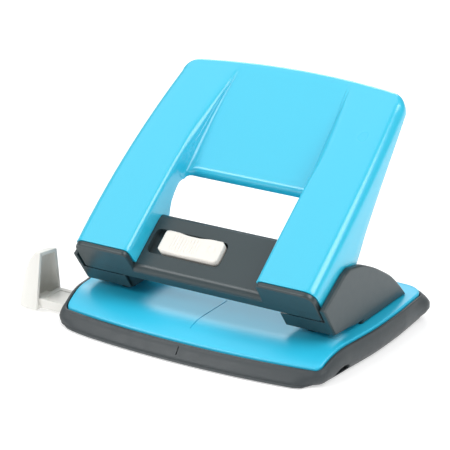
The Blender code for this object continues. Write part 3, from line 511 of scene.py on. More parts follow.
BLUE = finish_material("blue_enamel", (0.026, 0.506, 0.718), (0.024, 0.498, 0.708), (0.27, 0.29),
                       120.0, 0.0000020, patch=10.0, coat=0.6, coat_rough=0.23)
BLUE_STEEL = finish_material("blue_steel", (0.022, 0.520, 0.770), (0.020, 0.508, 0.758),
                             (0.37, 0.41), 120.0, 0.0000020, patch=12.0, coat=0.28, coat_rough=0.38)
GREY = finish_material("grey_plastic", (0.027, 0.044, 0.049), (0.023, 0.040, 0.045),
                       (0.31, 0.38), 2600.0, 0.000009, patch=80.0)
SOFT_GREY = finish_material("soft_grey_plastic", (0.046, 0.055, 0.060), (0.040, 0.049, 0.053),
                            (0.42, 0.54), 2200.0, 0.000022, patch=70.0, specular=0.42)
CREAM = finish_material("cream_plastic", (0.80, 0.765, 0.71), (0.77, 0.735, 0.68), (0.34, 0.42),
                        1800.0, 0.000006, patch=60.0)
WHITE = finish_material("white_plastic", (0.78, 0.775, 0.735), (0.75, 0.745, 0.705),
                        (0.34, 0.44), 1600.0, 0.000008, patch=50.0)
ZINC = finish_material("zinc_steel", (0.66, 0.67, 0.66), (0.52, 0.54, 0.54), (0.26, 0.42),
                       1500.0, 0.000006, patch=160.0, metallic=1.0)
HARD = finish_material("hardened_steel", (0.56, 0.56, 0.57), (0.44, 0.44, 0.46), (0.18, 0.30),
                       2400.0, 0.000003, patch=220.0, metallic=1.0, stretch=(1.0, 1.0, 6.0))
WIRE = finish_material("spring_wire", (0.50, 0.50, 0.52), (0.36, 0.36, 0.38), (0.24, 0.36),
                       2600.0, 0.000003, patch=300.0, metallic=1.0)
FLOOR = finish_material("floor", (0.72, 0.72, 0.72), (0.71, 0.71, 0.71), (0.75, 0.85), 20.0,
                        0.00001, patch=2.0, specular=0.1)
FLOOR_SHADER = FLOOR.node_tree.nodes["Principled BSDF"]
FLOOR_SHADER.inputs["Emission Color"].default_value = WHITE_LIGHT
FLOOR_SHADER.inputs["Emission Strength"].default_value = 0.46


# ---------------------------------------------------------------- handle surfaces

def skin_tilt(s):
    """Slope of the top skin, which flattens gently towards its upper end."""
    return SKIN_TILT + SKIN_CURL * s


def skin_yz(s, depth):
    """(y, z) of a place under the skin."""
    tilt = skin_tilt(s)
    y = LIP_Y + (math.sin(tilt) - math.sin(SKIN_TILT)) / SKIN_CURL
    z = LIP_Z - (math.cos(tilt) - math.cos(SKIN_TILT)) / SKIN_CURL
    return y + depth * math.sin(tilt), z - depth * math.cos(tilt)


def skin_point(x, s, depth):
    return Vector((x, *skin_yz(s, depth)))


def along_skin(outline):
    return [skin_yz(s, depth) for s, depth in outline]


def face_s(depth):
    """s of the frame's sloping front face."""
    return FACE_S + FACE_SLOPE * depth


def half_width(s):
    """Half the handle's width, a little more at first and less towards the top."""
    part = s / HANDLE_LENGTH
    return HALF_WIDTH + HALF_WIDEN * part - HALF_TAPER * part * part


def read_off(stations, value):
    """Value on the smooth line through (place, value) stations."""
    line = curve_through(stations, 6)
    for (place0, value0), (place1, value1) in zip(line, line[1:]):
        if value <= place1:
            return lerp(value0, value1, max(value - place0, 0.0) / (place1 - place0))
    return stations[-1][1]


def inner_edge(s):
    """x of a leg's inner edge, which closes in towards the top of the panel."""
    part = min(max((s - PANEL_END) / (PANEL_START - PANEL_END), 0.0), 1.0)
    return lerp(LEG_INNER, LEG_INNER_TOP, part)


def panel_plane(s):
    """Depth of the dished panel, which rises to the skin at its top."""
    return PANEL_DEPTH * max((PANEL_START - s) / (PANEL_START - PANEL_END), 0.0)


def window_drop(x, wall_x):
    """How far the window's upper edge dips towards its rounded corners."""
    past = min(max(WINDOW_CORNER_R - (wall_x - x), 0.0), WINDOW_CORNER_R)
    return WINDOW_CORNER_R - math.sqrt(WINDOW_CORNER_R ** 2 - past ** 2)


def lip_radius(x):
    """Radius of the rolled lip, which fades into the walls of the window."""
    return LIP_R * (1.0 - LIP_FADE * smooth(LIP_FADE_X, LEG_INNER, x))


def lip_face(x):
    """Depth of the lip's flat foot, which fades with its radius."""
    return LIP_FACE * (1.0 - LIP_FADE * smooth(LIP_FADE_X, LEG_INNER, x))


def inner_wall(s, floor, fillet):
    """(x, depth) up a leg's inner wall and over its rounded edge."""
    inner = inner_edge(s)
    round_x = INNER_R + INNER_R_GROWTH * smooth(PANEL_END, PANEL_END + 0.0150, s)
    radius = min(round_x, floor * 0.55)
    splay = FOOT_SPLAY * (1.0 - smooth(0.0005, 0.0030, floor)) + WALL_DRAFT * min(floor / PANEL_DEPTH, 1.0)
    columns = [(inner - splay * (1.0 - step / 4), lerp(floor - fillet, radius, step / 4))
               for step in range(4)]
    for angle in quarter(6):
        columns.append((inner + round_x * (1.0 - math.cos(angle)), radius * (1.0 - math.sin(angle))))
    return columns


def outer_edge(edge_r, wall):
    """(distance in from the outside, depth) over the outer edge and down the outer wall."""
    profile = [(edge_r * (1.0 - math.sin(angle)), edge_r * (1.0 - math.cos(angle))) for angle in quarter(7)]
    return profile + [(0.0, lerp(edge_r, wall, step / 3)) for step in (1, 2, 3)]


def leg_top(start, end):
    """(x, depth) over the flat top of a leg, without its ends."""
    return [(lerp(start, end, step / 5), 0.0) for step in range(1, 5)]


def side_columns(s, outer_s, floor, fillet):
    """(x, depth) across one leg, from its inner wall's foot at s to its outer wall's foot at outer_s."""
    half = half_width(outer_s)
    columns = inner_wall(s, floor, fillet)
    columns += leg_top(columns[-1][0], half - EDGE_R)
    wall = read_off(OUTER_WALL, outer_s)
    return columns + [(half - inward, depth) for inward, depth in outer_edge(EDGE_R, wall)]


def window_row(s):
    """Row beside the window: the foot of the inner wall, then the leg."""
    floor = read_off(WINDOW_WALL, s) if s > WINDOW_WALL[0][0] - GAP else BEAM_CLEAR
    columns = side_columns(s, s, floor - WALL_LEDGE, 0.0)
    return [(x, s, depth) for x, depth in [(columns[0][0], floor)] + columns]


def panel_columns(s, angle, corner):
    """(x, s, depth) across the panel to the foot of the leg's inner wall."""
    def plane(x, at):
        radius = lip_radius(x) if corner else 0.0
        return panel_plane(at + radius * math.cos(angle)) + radius * (1.0 - math.sin(angle))

    def place(x, wall_x):
        radius = lip_radius(x) if corner > 0.5 else 0.0
        return s + radius * (1.0 - math.cos(angle)) - window_drop(x, wall_x) * corner

    inner = inner_edge(s)
    floor = plane(inner, s)
    wide = lerp(1.0, 0.5, 1.0 - smooth(PANEL_END, PANEL_END + 0.0120, s))
    fillet = min(PANEL_FILLET * wide * math.sin(angle), floor * 0.42)
    wall_x = inner_wall(s, floor, fillet)[0][0]
    flat_end = wall_x - max(fillet, 0.0008)
    columns = [(flat_end * (1.0 - (1.0 - step / 15) ** 1.5), 0.0) for step in range(15)]
    for turn in quarter(4)[:-1]:
        columns.append((lerp(flat_end, wall_x, math.sin(turn)), fillet * (1.0 - math.cos(turn))))
    points = []
    for x, rise in columns:
        at = place(x, wall_x)
        points.append((x, at, plane(x, at) - rise))
    return points, floor, fillet


def lip_row(angle):
    """Row round the rolled lip above the window."""
    points, floor, fillet = panel_columns(PANEL_END, angle, 1.0)
    outer_s = PANEL_END + lip_radius(LEG_INNER) * (1.0 - math.cos(angle))
    for x, depth in side_columns(PANEL_END - WINDOW_CORNER_R, outer_s, floor, fillet):
        fade = 1.0 - smooth(*LEG_BLEND, x)
        s = PANEL_END + lip_radius(x) * (1.0 - math.cos(angle)) - WINDOW_CORNER_R * fade
        points.append((x, s, depth))
    return points


def panel_row(s):
    """Row over the panel and the leg, which still feels the window's corner at its lower end."""
    fade = 0.5 * (1.0 - smooth(*WINDOW_CORNER_FADE, s))
    points, floor, fillet = panel_columns(s, RIGHT_ANGLE, fade)
    for x, depth in side_columns(s, s, floor, fillet):
        weight = 1.0 - smooth(*LEG_BLEND, x)
        points.append((x, s - WINDOW_CORNER_R * fade * weight, depth))
    return bowed(points, half_width(s))


def bowed(points, half):
    """Curves rows near the top end, which is bowed across the handle."""
    return [(x, s + smooth(BOW_START, SKIN_TOP, s) * TOP_BOW * (1.0 - (x / half) ** 2), depth)
            for x, s, depth in points]


def corner_row(angle):
    """Row that turns the outer edge through the top corner."""
    start = SKIN_TOP - TOP_CORNER_R
    half = half_width(start)
    edge_r = lerp(EDGE_R, END_EDGE_R, math.sin(angle))
    reach = TOP_CORNER_R - edge_r
    s = start + reach * math.sin(angle)
    points, floor, fillet = panel_columns(s, RIGHT_ANGLE, 0.0)
    centre_x = half - TOP_CORNER_R
    top = inner_wall(s, floor, fillet)
    top += leg_top(top[-1][0], centre_x + reach * math.cos(angle))
    points += [(x, s, depth) for x, depth in top]
    wall = lerp(read_off(OUTER_WALL, start), END_WALL, math.sin(angle))
    for inward, depth in outer_edge(edge_r, wall):
        out = TOP_CORNER_R - inward
        points.append((centre_x + out * math.cos(angle), start + out * math.sin(angle), depth))
    return points


def end_rows(last, top_count):
    """Rows over the top end, between the two corners; each ends on a point of the last corner row."""
    rows = []
    for x, s, depth in last[top_count + 1:]:
        rows.append([(column[0], s, depth) for column in last[:top_count]] + [(x, s, depth)])
    return rows


def handle_shell():
    """The moulded blue shell: two legs, a window with a rolled upper lip and a dished panel."""
    bm = bmesh.new()
    half = half_width(SKIN_TOP - TOP_CORNER_R)

    def verts(points):
        return [bm.verts.new(skin_point(*point)) for point in points]

    beside = [verts(window_row(s)) for s in WINDOW_ROWS]
    lip = [lip_row(angle) for angle in quarter(6)]
    rows = lip + [panel_row(s) for s in PANEL_ROWS]
    corner = [corner_row(angle) for angle in quarter(8)]
    rows += [bowed(row, half) for row in corner]
    above = [verts(row) for row in rows]
    panel_count = len(lip[0]) - len(beside[0]) + 1
    lip_foot = verts([(x, s, depth + lip_face(x)) for x, s, depth in lip[0][:panel_count + 1]])
    skin_faces(bm, beside)
    skin_faces(bm, [beside[-1], lip_foot[-1:] + above[0][panel_count:]])
    skin_faces(bm, [lip_foot, above[0][:panel_count + 1]])
    skin_faces(bm, above)
    top_count = len(lip[0]) - len(outer_edge(EDGE_R, END_WALL))
    end = [verts(bowed(row, half)) for row in end_rows(corner[-1], top_count)]
    skin_faces(bm, [above[-1][:top_count + 1]] + end)
    bmesh.ops.remove_doubles(bm, verts=bm.verts, dist=1e-6)
    bmesh.ops.recalc_face_normals(bm, faces=bm.faces)
    if sum(face.normal.z * face.calc_area() for face in bm.faces) < 0:
        bmesh.ops.reverse_faces(bm, faces=bm.faces)
    obj = new_object("handle_shell", bm, BLUE, sharp=50.0)
    obj.modifiers.new("Mirror", "MIRROR").merge_threshold = 0.000005
    thicken(obj, SKIN, SKIN_BREAK, 50.0, 45.0)
    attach(obj, "handle")
    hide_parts("handle_cover")


def screw_bosses():
    """Bosses under the shell that take the cover screws."""
    axis = skin_point(0, BOSS_S, 0) - skin_point(0, BOSS_S, 1)
    profile = [(BOSS_BORE_R, BOSS_TIP), (BOSS_TIP_R, BOSS_TIP), (BOSS_ROOT_R, BOSS_ROOT),
               (BOSS_BORE_R, BOSS_ROOT), (BOSS_BORE_R, BOSS_TIP)]
    for word, side in SIDES.items():
        boss = turned(f"shell_boss_{word}", profile, skin_point(side * PIN_X, BOSS_S, 0), axis, BLUE, 28)
        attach(boss, "handle")


# ---------------------------------------------------------------- handle frame

def skin_block(name, x0, x1, s0, s1, depth0, depth1, corner, mat):
    """Block lying square to the skin, with its upright corners rounded."""
    outline = rounded([(x0, s0, corner), (x1, s0, corner), (x1, s1, corner), (x0, s1, corner)], 6)
    bm = bmesh.new()
    rows = [[bm.verts.new(skin_point(x, s, depth)) for x, s in outline] for depth in (depth0, depth1)]
    skin_faces(bm, rows, closed=True)
    bm.faces.new(rows[0])
    bm.faces.new(rows[1])
    bmesh.ops.recalc_face_normals(bm, faces=bm.faces)
    return new_object(name, bm, mat)


def frame_beam():
    """Slider housing: rounded along its front edge, with a broad chamfer along its back edge."""
    run, drop = BEAM_CHAMFER
    inside = BEAM_BACK - BEAM_WALL
    section = rounded([(face_s(FACE_DEPTH), FACE_DEPTH, 0.0003),
                       (face_s(BEAM_DEPTH), BEAM_DEPTH, BEAM_NOSE_R),
                       (BEAM_BACK - run, BEAM_DEPTH, BEAM_CHAMFER_R),
                       (BEAM_BACK, BEAM_DEPTH + drop, BEAM_CHAMFER_R), (BEAM_BACK, BEAM_BACK_FOOT, 0.0003),
                       (inside, BEAM_BACK_FOOT, 0.0003), (inside, BEAM_FLOOR, 0.0005),
                       (FACE_BACK[0], BEAM_FLOOR, 0.0004), (FACE_BACK[1], FACE_DEPTH, 0.0003)], 7)
    return prism("frame_beam", along_skin(section), -BEAM_HALF, BEAM_HALF, GREY)


def frame_cap(side):
    """End cap whose front matches the section of the shell's leg, with a rolled rim."""
    loop = rounded([(CAP_INNER, FACE_DEPTH, 0.0), (CAP_INNER, CAP_TOP, CAP_INNER_R),
                    (CAP_OUTER, CAP_TOP, EDGE_R), (CAP_OUTER, FACE_DEPTH, 0.0)], 8)
    bm = bmesh.new()
    rows = [[bm.verts.new(skin_point(side * x, -GAP if depth < CAP_STEP else CAP_SEAT, depth))
             for x, depth in loop]]
    for angle in quarter(3):
        inset = CAP_RIM * (1.0 - math.cos(angle))
        behind = CAP_RIM * (1.0 - math.sin(angle))
        points = offset_loop(loop, [-inset] * len(loop))
        rows.append([bm.verts.new(skin_point(side * x, face_s(depth) + behind, depth))
                     for x, depth in points])
    skin_faces(bm, rows, closed=True)
    bm.faces.new(rows[0])
    bm.faces.new(rows[-1])
    bmesh.ops.recalc_face_normals(bm, faces=bm.faces)
    return new_object("cap", bm, GREY)


def frame_body():
    """Beam, end caps and the apron that joins them, as one moulding with the slider's recess."""
    body = frame_beam()
    apron = [(face_s(APRON_TOP), APRON_TOP), (FACE_BACK[0], APRON_TOP), (FACE_BACK[1], FACE_DEPTH),
             (face_s(FACE_DEPTH), FACE_DEPTH)]
    reach = CAP_OUTER - 0.0010
    tools = [prism("apron", along_skin(apron), -reach, reach, GREY)]
    for side in SIDES.values():
        tools.append(frame_cap(side))
    boolean(body, tools, "UNION")
    left, right = SLIDER_LOW.x - SLIDER_TRAVEL, SLIDER_HIGH.x
    recess = skin_block("recess", left - RECESS_ENDS[0], right + RECESS_ENDS[1], *RECESS_S,
                        BEAM_DEPTH - 0.0010, RECESS_FLOOR, SLIDER_CORNER_R, GREY)
    slot = skin_block("slot", left + SLOT_ENDS[0], right - SLOT_ENDS[1], *SLOT_S,
                      BEAM_DEPTH, SLOT_FLOOR, 0.0004, GREY)
    boolean(body, [recess, slot], "DIFFERENCE")
    bevel(body, 0.0003, 2, 40.0)
    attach(body, "handle")
    return body


def ear_outline():
    """(y, z) of a hanger, round the pivot pin and the press roller's axle."""
    pivot = (PIVOT_Y, PIVOT_Z)
    roller_low, roller_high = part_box("press_roller_right")
    roller = ((roller_low.y + roller_high.y) / 2, (roller_low.z + roller_high.z) / 2)
    points = [skin_yz(DECK_END, EAR_FOOT), skin_yz(-0.0008, EAR_FOOT)]
    for centre, radius, start, end in ((pivot, 0.0030, 200.0, 300.0), (roller, 0.0023, 280.0, 385.0)):
        for step in range(11):
            angle = math.radians(lerp(start, end, step / 10))
            points.append((centre[0] + radius * math.cos(angle), centre[1] + radius * math.sin(angle)))
    return points


def frame_decks():
    """Decks under the legs, with the hangers that carry pivot and press roller."""
    front = FACE_BACK[0]
    deck = rounded([(front, DECK_TOP, 0.0), (DECK_END, DECK_TOP, 0.0004), (DECK_END, DECK_FLOOR, 0.0004),
                    (front, DECK_FLOOR, 0.0)], 3)
    for word, side in SIDES.items():
        inside = side * (BEAM_HALF - 0.0004)
        part = prism(f"frame_deck_{word}", along_skin(deck), inside, side * DECK_OUTER, GREY)
        tools = []
        for offset in (-EAR_OFFSET, EAR_OFFSET):
            x = side * PIN_X + offset
            tools.append(prism("ear", ear_outline(), x - EAR_HALF, x + EAR_HALF, GREY))
        boolean(part, tools, "UNION")
        bevel(part, 0.0002, 1, 40.0)
        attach(part, "handle")
    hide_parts("handle_frame")


# ---------------------------------------------------------------- lock

def slider_surface(x, across):
    """(s, depth) of the slider's top at x, from its front edge (0) to its waisted back edge (1)."""
    (x0, x1), (s0, s1) = SLIDER_X, SLIDER_S
    part = (x - x0) / (x1 - x0)
    back = s1 - SLIDER_WAIST * smooth(0.17, 0.42, part) * (1.0 - smooth(0.55, 0.80, part))
    inset = min(max(SLIDER_CORNER_R - min(x - x0, x1 - x), 0.0), SLIDER_CORNER_R)
    round_off = SLIDER_CORNER_R - math.sqrt(SLIDER_CORNER_R ** 2 - inset ** 2)
    s = lerp(s0 + round_off, back - round_off, across)
    edge = min(x - x0, x1 - x, s - s0 - round_off * 0.6, back - round_off * 0.6 - s)
    lift = math.sqrt(max(1.0 - (1.0 - min(max(edge, 0.0) / SLIDER_EDGE_RUN, 1.0)) ** 2, 0.0))
    scoop = SLIDER_SCOOP * math.sin(math.pi * smooth(0.02, 0.72, part))
    ribs = SLIDER_RIB * math.cos(2 * math.pi * (x - x0) / SLIDER_RIB_PITCH)
    ribs *= smooth(0.16, 0.20, part) * (1.0 - smooth(0.62, 0.66, part))
    ribs *= smooth(0.12, 0.2, across) * (1.0 - smooth(0.80, 0.88, across))
    reach = math.hypot(x - lerp(x0, x1, DIMPLE_PLACE), s - (s0 + s1) / 2) / DIMPLE_R
    dimple = DIMPLE_DEPTH * (1.0 - smooth(0.75, 1.0, reach))
    return s, lerp(SLIDER_TOP + SLIDER_EDGE, SLIDER_TOP + scoop + dimple - ribs, lift)


def slider_stem():
    """Block under the slider, bored for the lock rod."""
    stem = skin_block("slider_stem", *STEM_X, *STEM_S, SLIDER_FLOOR, STEM_FOOT, 0.0004, CREAM)
    rod_low, rod_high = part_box("lock_rod")
    rod = (ROD_BORE_X, (rod_low.y + rod_high.y) / 2, (rod_low.z + rod_high.z) / 2)
    bore = turned("bore", [(0, -ROD_BORE_REACH), (ROD_BORE_R, -ROD_BORE_REACH),
                           (ROD_BORE_R, ROD_BORE_REACH), (0, ROD_BORE_REACH)],
                  rod, (1, 0, 0), CREAM, 20)
    boolean(stem, [bore], "DIFFERENCE")
    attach(stem, "lock")


def lock_slider():
    """Cream slider: a waisted back edge, fine ribs across the left half and a shallow dimple."""
    x0, x1 = SLIDER_X
    rows, spans = 26, 104
    ends = [SLIDER_CORNER_R * (1.0 - math.cos(angle)) for angle in quarter(9)]
    middle = [lerp(x0 + SLIDER_CORNER_R, x1 - SLIDER_CORNER_R, step / spans) for step in range(1, spans)]
    places = [x0 + end for end in ends] + middle + [x1 - end for end in reversed(ends)]
    bm = bmesh.new()
    grid = [[bm.verts.new(skin_point(x, *slider_surface(x, row / rows))) for x in places]
            for row in range(rows + 1)]
    skin_faces(bm, grid)
    border = grid[0] + [line[-1] for line in grid[1:-1]] + grid[-1][::-1]
    border += [line[0] for line in grid[-2:0:-1]]
    # the skin's arc is nearly straight here, so one direction serves for every wall
    tilt = skin_tilt(sum(SLIDER_S) / 2)
    down = Vector((0, math.sin(tilt), -math.cos(tilt)))
    height = SLIDER_FLOOR - SLIDER_TOP - SLIDER_EDGE
    wall = [border]
    for share in (0.4, 1.0):
        wall.append([bm.verts.new(vert.co + height * share * down) for vert in border])
    skin_faces(bm, wall, closed=True)
    bm.faces.new(wall[-1])
    bmesh.ops.recalc_face_normals(bm, faces=bm.faces)
    obj = new_object("slider_button", bm, CREAM, 60.0)
    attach(obj, "lock")
    slider_stem()
    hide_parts("lock_slider")


# ---------------------------------------------------------------- base

def plate_front(x):
    """y of the plate's bowed front edge."""
    return PLATE_FRONT + PLATE_BOW * min(abs(x) / PLATE_HALF_FRONT, 1.0) ** PLATE_BOW_POWER


def plate_height(x, y):
    """Height of the plate's top, which ramps down to its front edge."""
    run = y - plate_front(x)
    if run >= RAMP_RUN:
        return PLATE_TOP
    return PLATE_TOP - RAMP_DROP * (1.0 - max(run, 0.0) / RAMP_RUN) ** 2


def plan_half():
    """Right half of the plate's outline, from the front centre round to the rear centre."""
    corner_x = PLATE_SIDE[0][1] - PLATE_FRONT_R
    points = [(corner_x * index / 18, plate_front(corner_x * index / 18)) for index in range(18)]
    corner_y = PLATE_SIDE[0][0]
    down = corner_y - plate_front(corner_x)
    for step in range(10):
        angle = lerp(-RIGHT_ANGLE, 0.0, step / 9)
        points.append((corner_x + PLATE_FRONT_R * math.cos(angle), corner_y + down * math.sin(angle)))
    points += [(x, y) for y, x in curve_through(PLATE_SIDE, 3)[1:]]
    side_x, side_y = points[-1]
    for angle in quarter(12)[1:]:
        points.append((side_x - PLATE_REAR_R * (1.0 - math.cos(angle)),
                       side_y + (PLATE_REAR - side_y) * math.sin(angle)))
    end_x = side_x - PLATE_REAR_R
    for index in range(1, 8):
        points.append((end_x * (1.0 - index / 7), PLATE_REAR + PLATE_REAR_BOW * smooth(0.0, 0.5, index / 7)))
    return points


def full_loop():
    """The plate's whole outline."""
    half = plan_half()
    return half + [(-x, y) for x, y in reversed(half[1:-1])]


def offset_loop(loop, distances):
    """Moves each point of a loop outwards along its normal, by its own distance."""
    moved = []
    count = len(loop)
    for index, (x, y) in enumerate(loop):
        x0, y0 = loop[index - 1]
        x1, y1 = loop[(index + 1) % count]
        out = Vector((y1 - y0, x0 - x1)).normalized()
        moved.append((x + out.x * distances[index], y + out.y * distances[index]))
    return moved


def ring_of(bm, points, height):
    return [bm.verts.new((x, y, height(x, y))) for x, y in points]


def base_plate():
    """Pressed steel plate with a rolled edge, a ramp at the front, the two dies and a centre mark."""
    loop = full_loop()
    bm = bmesh.new()
    top = []
    for angle in quarter(4):
        inset = PLATE_EDGE_R * (1.0 - math.cos(angle))
        drop = PLATE_EDGE_R * (1.0 - math.sin(angle))
        points = offset_loop(loop, [-inset] * len(loop))
        top.append(ring_of(bm, points, lambda x, y, drop=drop: plate_height(x, y) - drop))
    inner = offset_loop(loop, [-PLATE_EDGE_R] * len(loop))
    for shrink in (0.97, 0.94, 0.91, 0.88, 0.85, 0.82, 0.79, 0.76, 0.73, 0.70, 0.66, 0.60, 0.50):
        top.append(ring_of(bm, [(x * shrink, y * shrink) for x, y in inner], plate_height))
    bottom = []
    for shrink in (0.50, 0.60, 0.66, 0.70, 0.76, 0.82, 0.88, 0.94, 1.0):
        points = [(x * shrink, y * shrink) for x, y in loop]
        bottom.append(ring_of(bm, points, lambda x, y: plate_height(x, y) - PLATE_SHEET))
    skin_faces(bm, top, closed=True)
    skin_faces(bm, bottom, closed=True)
    skin_faces(bm, [bottom[-1], top[0]], closed=True)
    bm.faces.new(top[-1])
    bm.faces.new(bottom[0])
    bmesh.ops.recalc_face_normals(bm, faces=bm.faces)
    obj = new_object("plate_top", bm, BLUE_STEEL, 40.0)
    cuts = []
    low, high = PLATE_TOP - 2 * PLATE_SHEET, PLATE_TOP + PLATE_SHEET
    die = [(0, low), (DIE_R, low), (DIE_R, PLATE_TOP - DIE_RIM[0]), (DIE_RIM_R, PLATE_TOP + DIE_RIM[1]),
           (DIE_RIM_R, high), (0, high)]
    hole = [(0, low), (RIVET_HOLE_R, low), (RIVET_HOLE_R, high), (0, high)]
    for side in SIDES.values():
        cuts.append(turned("die", die, (side * PIN_X, PIN_Y, 0), (0, 0, 1), BLUE_STEEL, 40))
        for y in RIVET_Y:
            cuts.append(turned("hole", hole, (side * PIN_X, y, 0), (0, 0, 1), BLUE_STEEL, 24))
    along = [MARK_START + 0.0010 * step for step in range(MARK_STEPS)]
    groove = [(y, plate_height(0.0, y) - MARK_DEPTH) for y in along]
    groove += [(y, z + 0.0020) for y, z in reversed(groove)]
    cuts.append(prism("mark", groove, -MARK_DEPTH, MARK_DEPTH, BLUE_STEEL))
    boolean(obj, cuts, "DIFFERENCE")
    shade(obj, 40.0)
    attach(obj, "base")
    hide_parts("base_plate")


def frontness(x, y):
    """1 along the front edge, 0 along the sides and rear; the foot draws in at the notched right corner."""
    if y > 0:
        return 0.0
    if x > 0:
        return 1.0 - smooth(0.0475, 0.0528, x)
    return 1.0 - smooth(-0.0365, -0.0296, y)


def cornerness(x, y):
    """1 at the rear corners, 0 elsewhere."""
    return smooth(0.0300, 0.0370, y) * smooth(0.0440, 0.0520, abs(x))


def tray_section():
    """(height share, out at the sides, out at the front, lift) round the tray's wall, foot to floor."""
    rim, flat = TRAY_WALL + RIM_GAP, 0.0004
    section = [(0.0, -0.0016, rim + 0.0028, 0.0), (0.0, -0.0006, rim + 0.0036, 0.0002),
               (0.08, 0.0004, rim + 0.0040, 0.0), (0.16, 0.0010, rim + 0.0038, 0.0),
               (0.19, 0.0012, rim + 0.0034, 0.0), (0.22, 0.0015, rim + 0.0034, 0.0),
               (0.34, 0.0021, rim + 0.0030, 0.0), (0.50, 0.0025, rim + 0.0023, 0.0),
               (0.68, 0.0025, rim + 0.0015, 0.0), (0.84, 0.0021, rim + 0.0008, 0.0)]
    for angle in quarter(4):
        out = rim - flat * (1.0 - math.cos(angle))
        section.append((1.0, out, out, -flat * (1.0 - math.sin(angle))))
    for angle in quarter(3):
        out = RIM_GAP + flat * (1.0 - math.sin(angle))
        section.append((1.0, out, out, -flat * (1.0 - math.cos(angle))))
    section += [(0.7, RIM_GAP, RIM_GAP, 0.0), (0.4, -0.0002, RIM_GAP, 0.0)]
    section += [(0.2, -0.0012, RIM_GAP, 0.0), (0.0, -0.0024, RIM_GAP, TRAY_FLOOR)]
    return section


def chip_tray():
    """Soft tray with bulging sides, a rounded rim, a faint ledge near its foot and a finger notch."""
    loop = full_loop()
    bm = bmesh.new()
    rings = []
    for share, side_out, front_out, lift in tray_section():
        bulge = max(side_out - TRAY_WALL - RIM_GAP, 0.0) / TRAY_BULGE
        draw_in = FOOT_DRAW * max(1.0 - share / FOOT_SHARE, 0.0)
        out = []
        for x, y in loop:
            reach = lerp(side_out, front_out, frontness(x, y)) + LOBE * bulge * cornerness(x, y)
            out.append(reach - draw_in * smooth(0.0480, 0.0530, -x) * (y < 0))
        ring = []
        for (x, y), (edge_x, edge_y) in zip(offset_loop(loop, out), loop):
            top = plate_height(edge_x, edge_y) - RIM_DROP - REAR_DROP * smooth(0.0330, 0.0400, edge_y)
            ring.append(bm.verts.new((x, y, max(top * share + lift, 0.0))))
        rings.append(ring)
    skin_faces(bm, rings, closed=True)
    bm.faces.new(rings[0])
    bm.faces.new(rings[-1])
    bmesh.ops.recalc_face_normals(bm, faces=bm.faces)
    obj = new_object("tray_body", bm, SOFT_GREY, 45.0)
    slot = box("slot", *GUIDE_SLOT, SOFT_GREY)
    arch = []
    for step in range(17):
        angle = math.pi * step / 16
        height = NOTCH_HEIGHT * max(math.sin(angle), 0.0) ** 0.7
        arch.append((NOTCH_Y + NOTCH_HALF * math.cos(angle), NOTCH_FOOT + height))
    notch = prism("notch", arch, *NOTCH_X, SOFT_GREY)
    tick = prism("tick", [(-0.0399, 0.0062), (-0.0450, 0.0062), (-0.0450, 0.0026), (-0.0420, 0.0026)],
                 -0.0002, 0.0002, SOFT_GREY)
    boolean(obj, [slot, notch, tick], "DIFFERENCE")
    shade(obj, 45.0)
    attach(obj, "tray")
    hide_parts("chip_tray")
    for word, y0, y1 in (("front", -0.0324, -0.0313), ("rear", -0.0177, -0.0166)):
        low, high = (RAIL_X[0], y0, TRAY_FLOOR * 0.8), (RAIL_X[1], y1, RAIL_TOP)
        rail = box(f"tray_rail_{word}", low, high, SOFT_GREY)
        bevel(rail, 0.0002, 1, 40.0)
        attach(rail, "tray")


# ---------------------------------------------------------------- paper guide

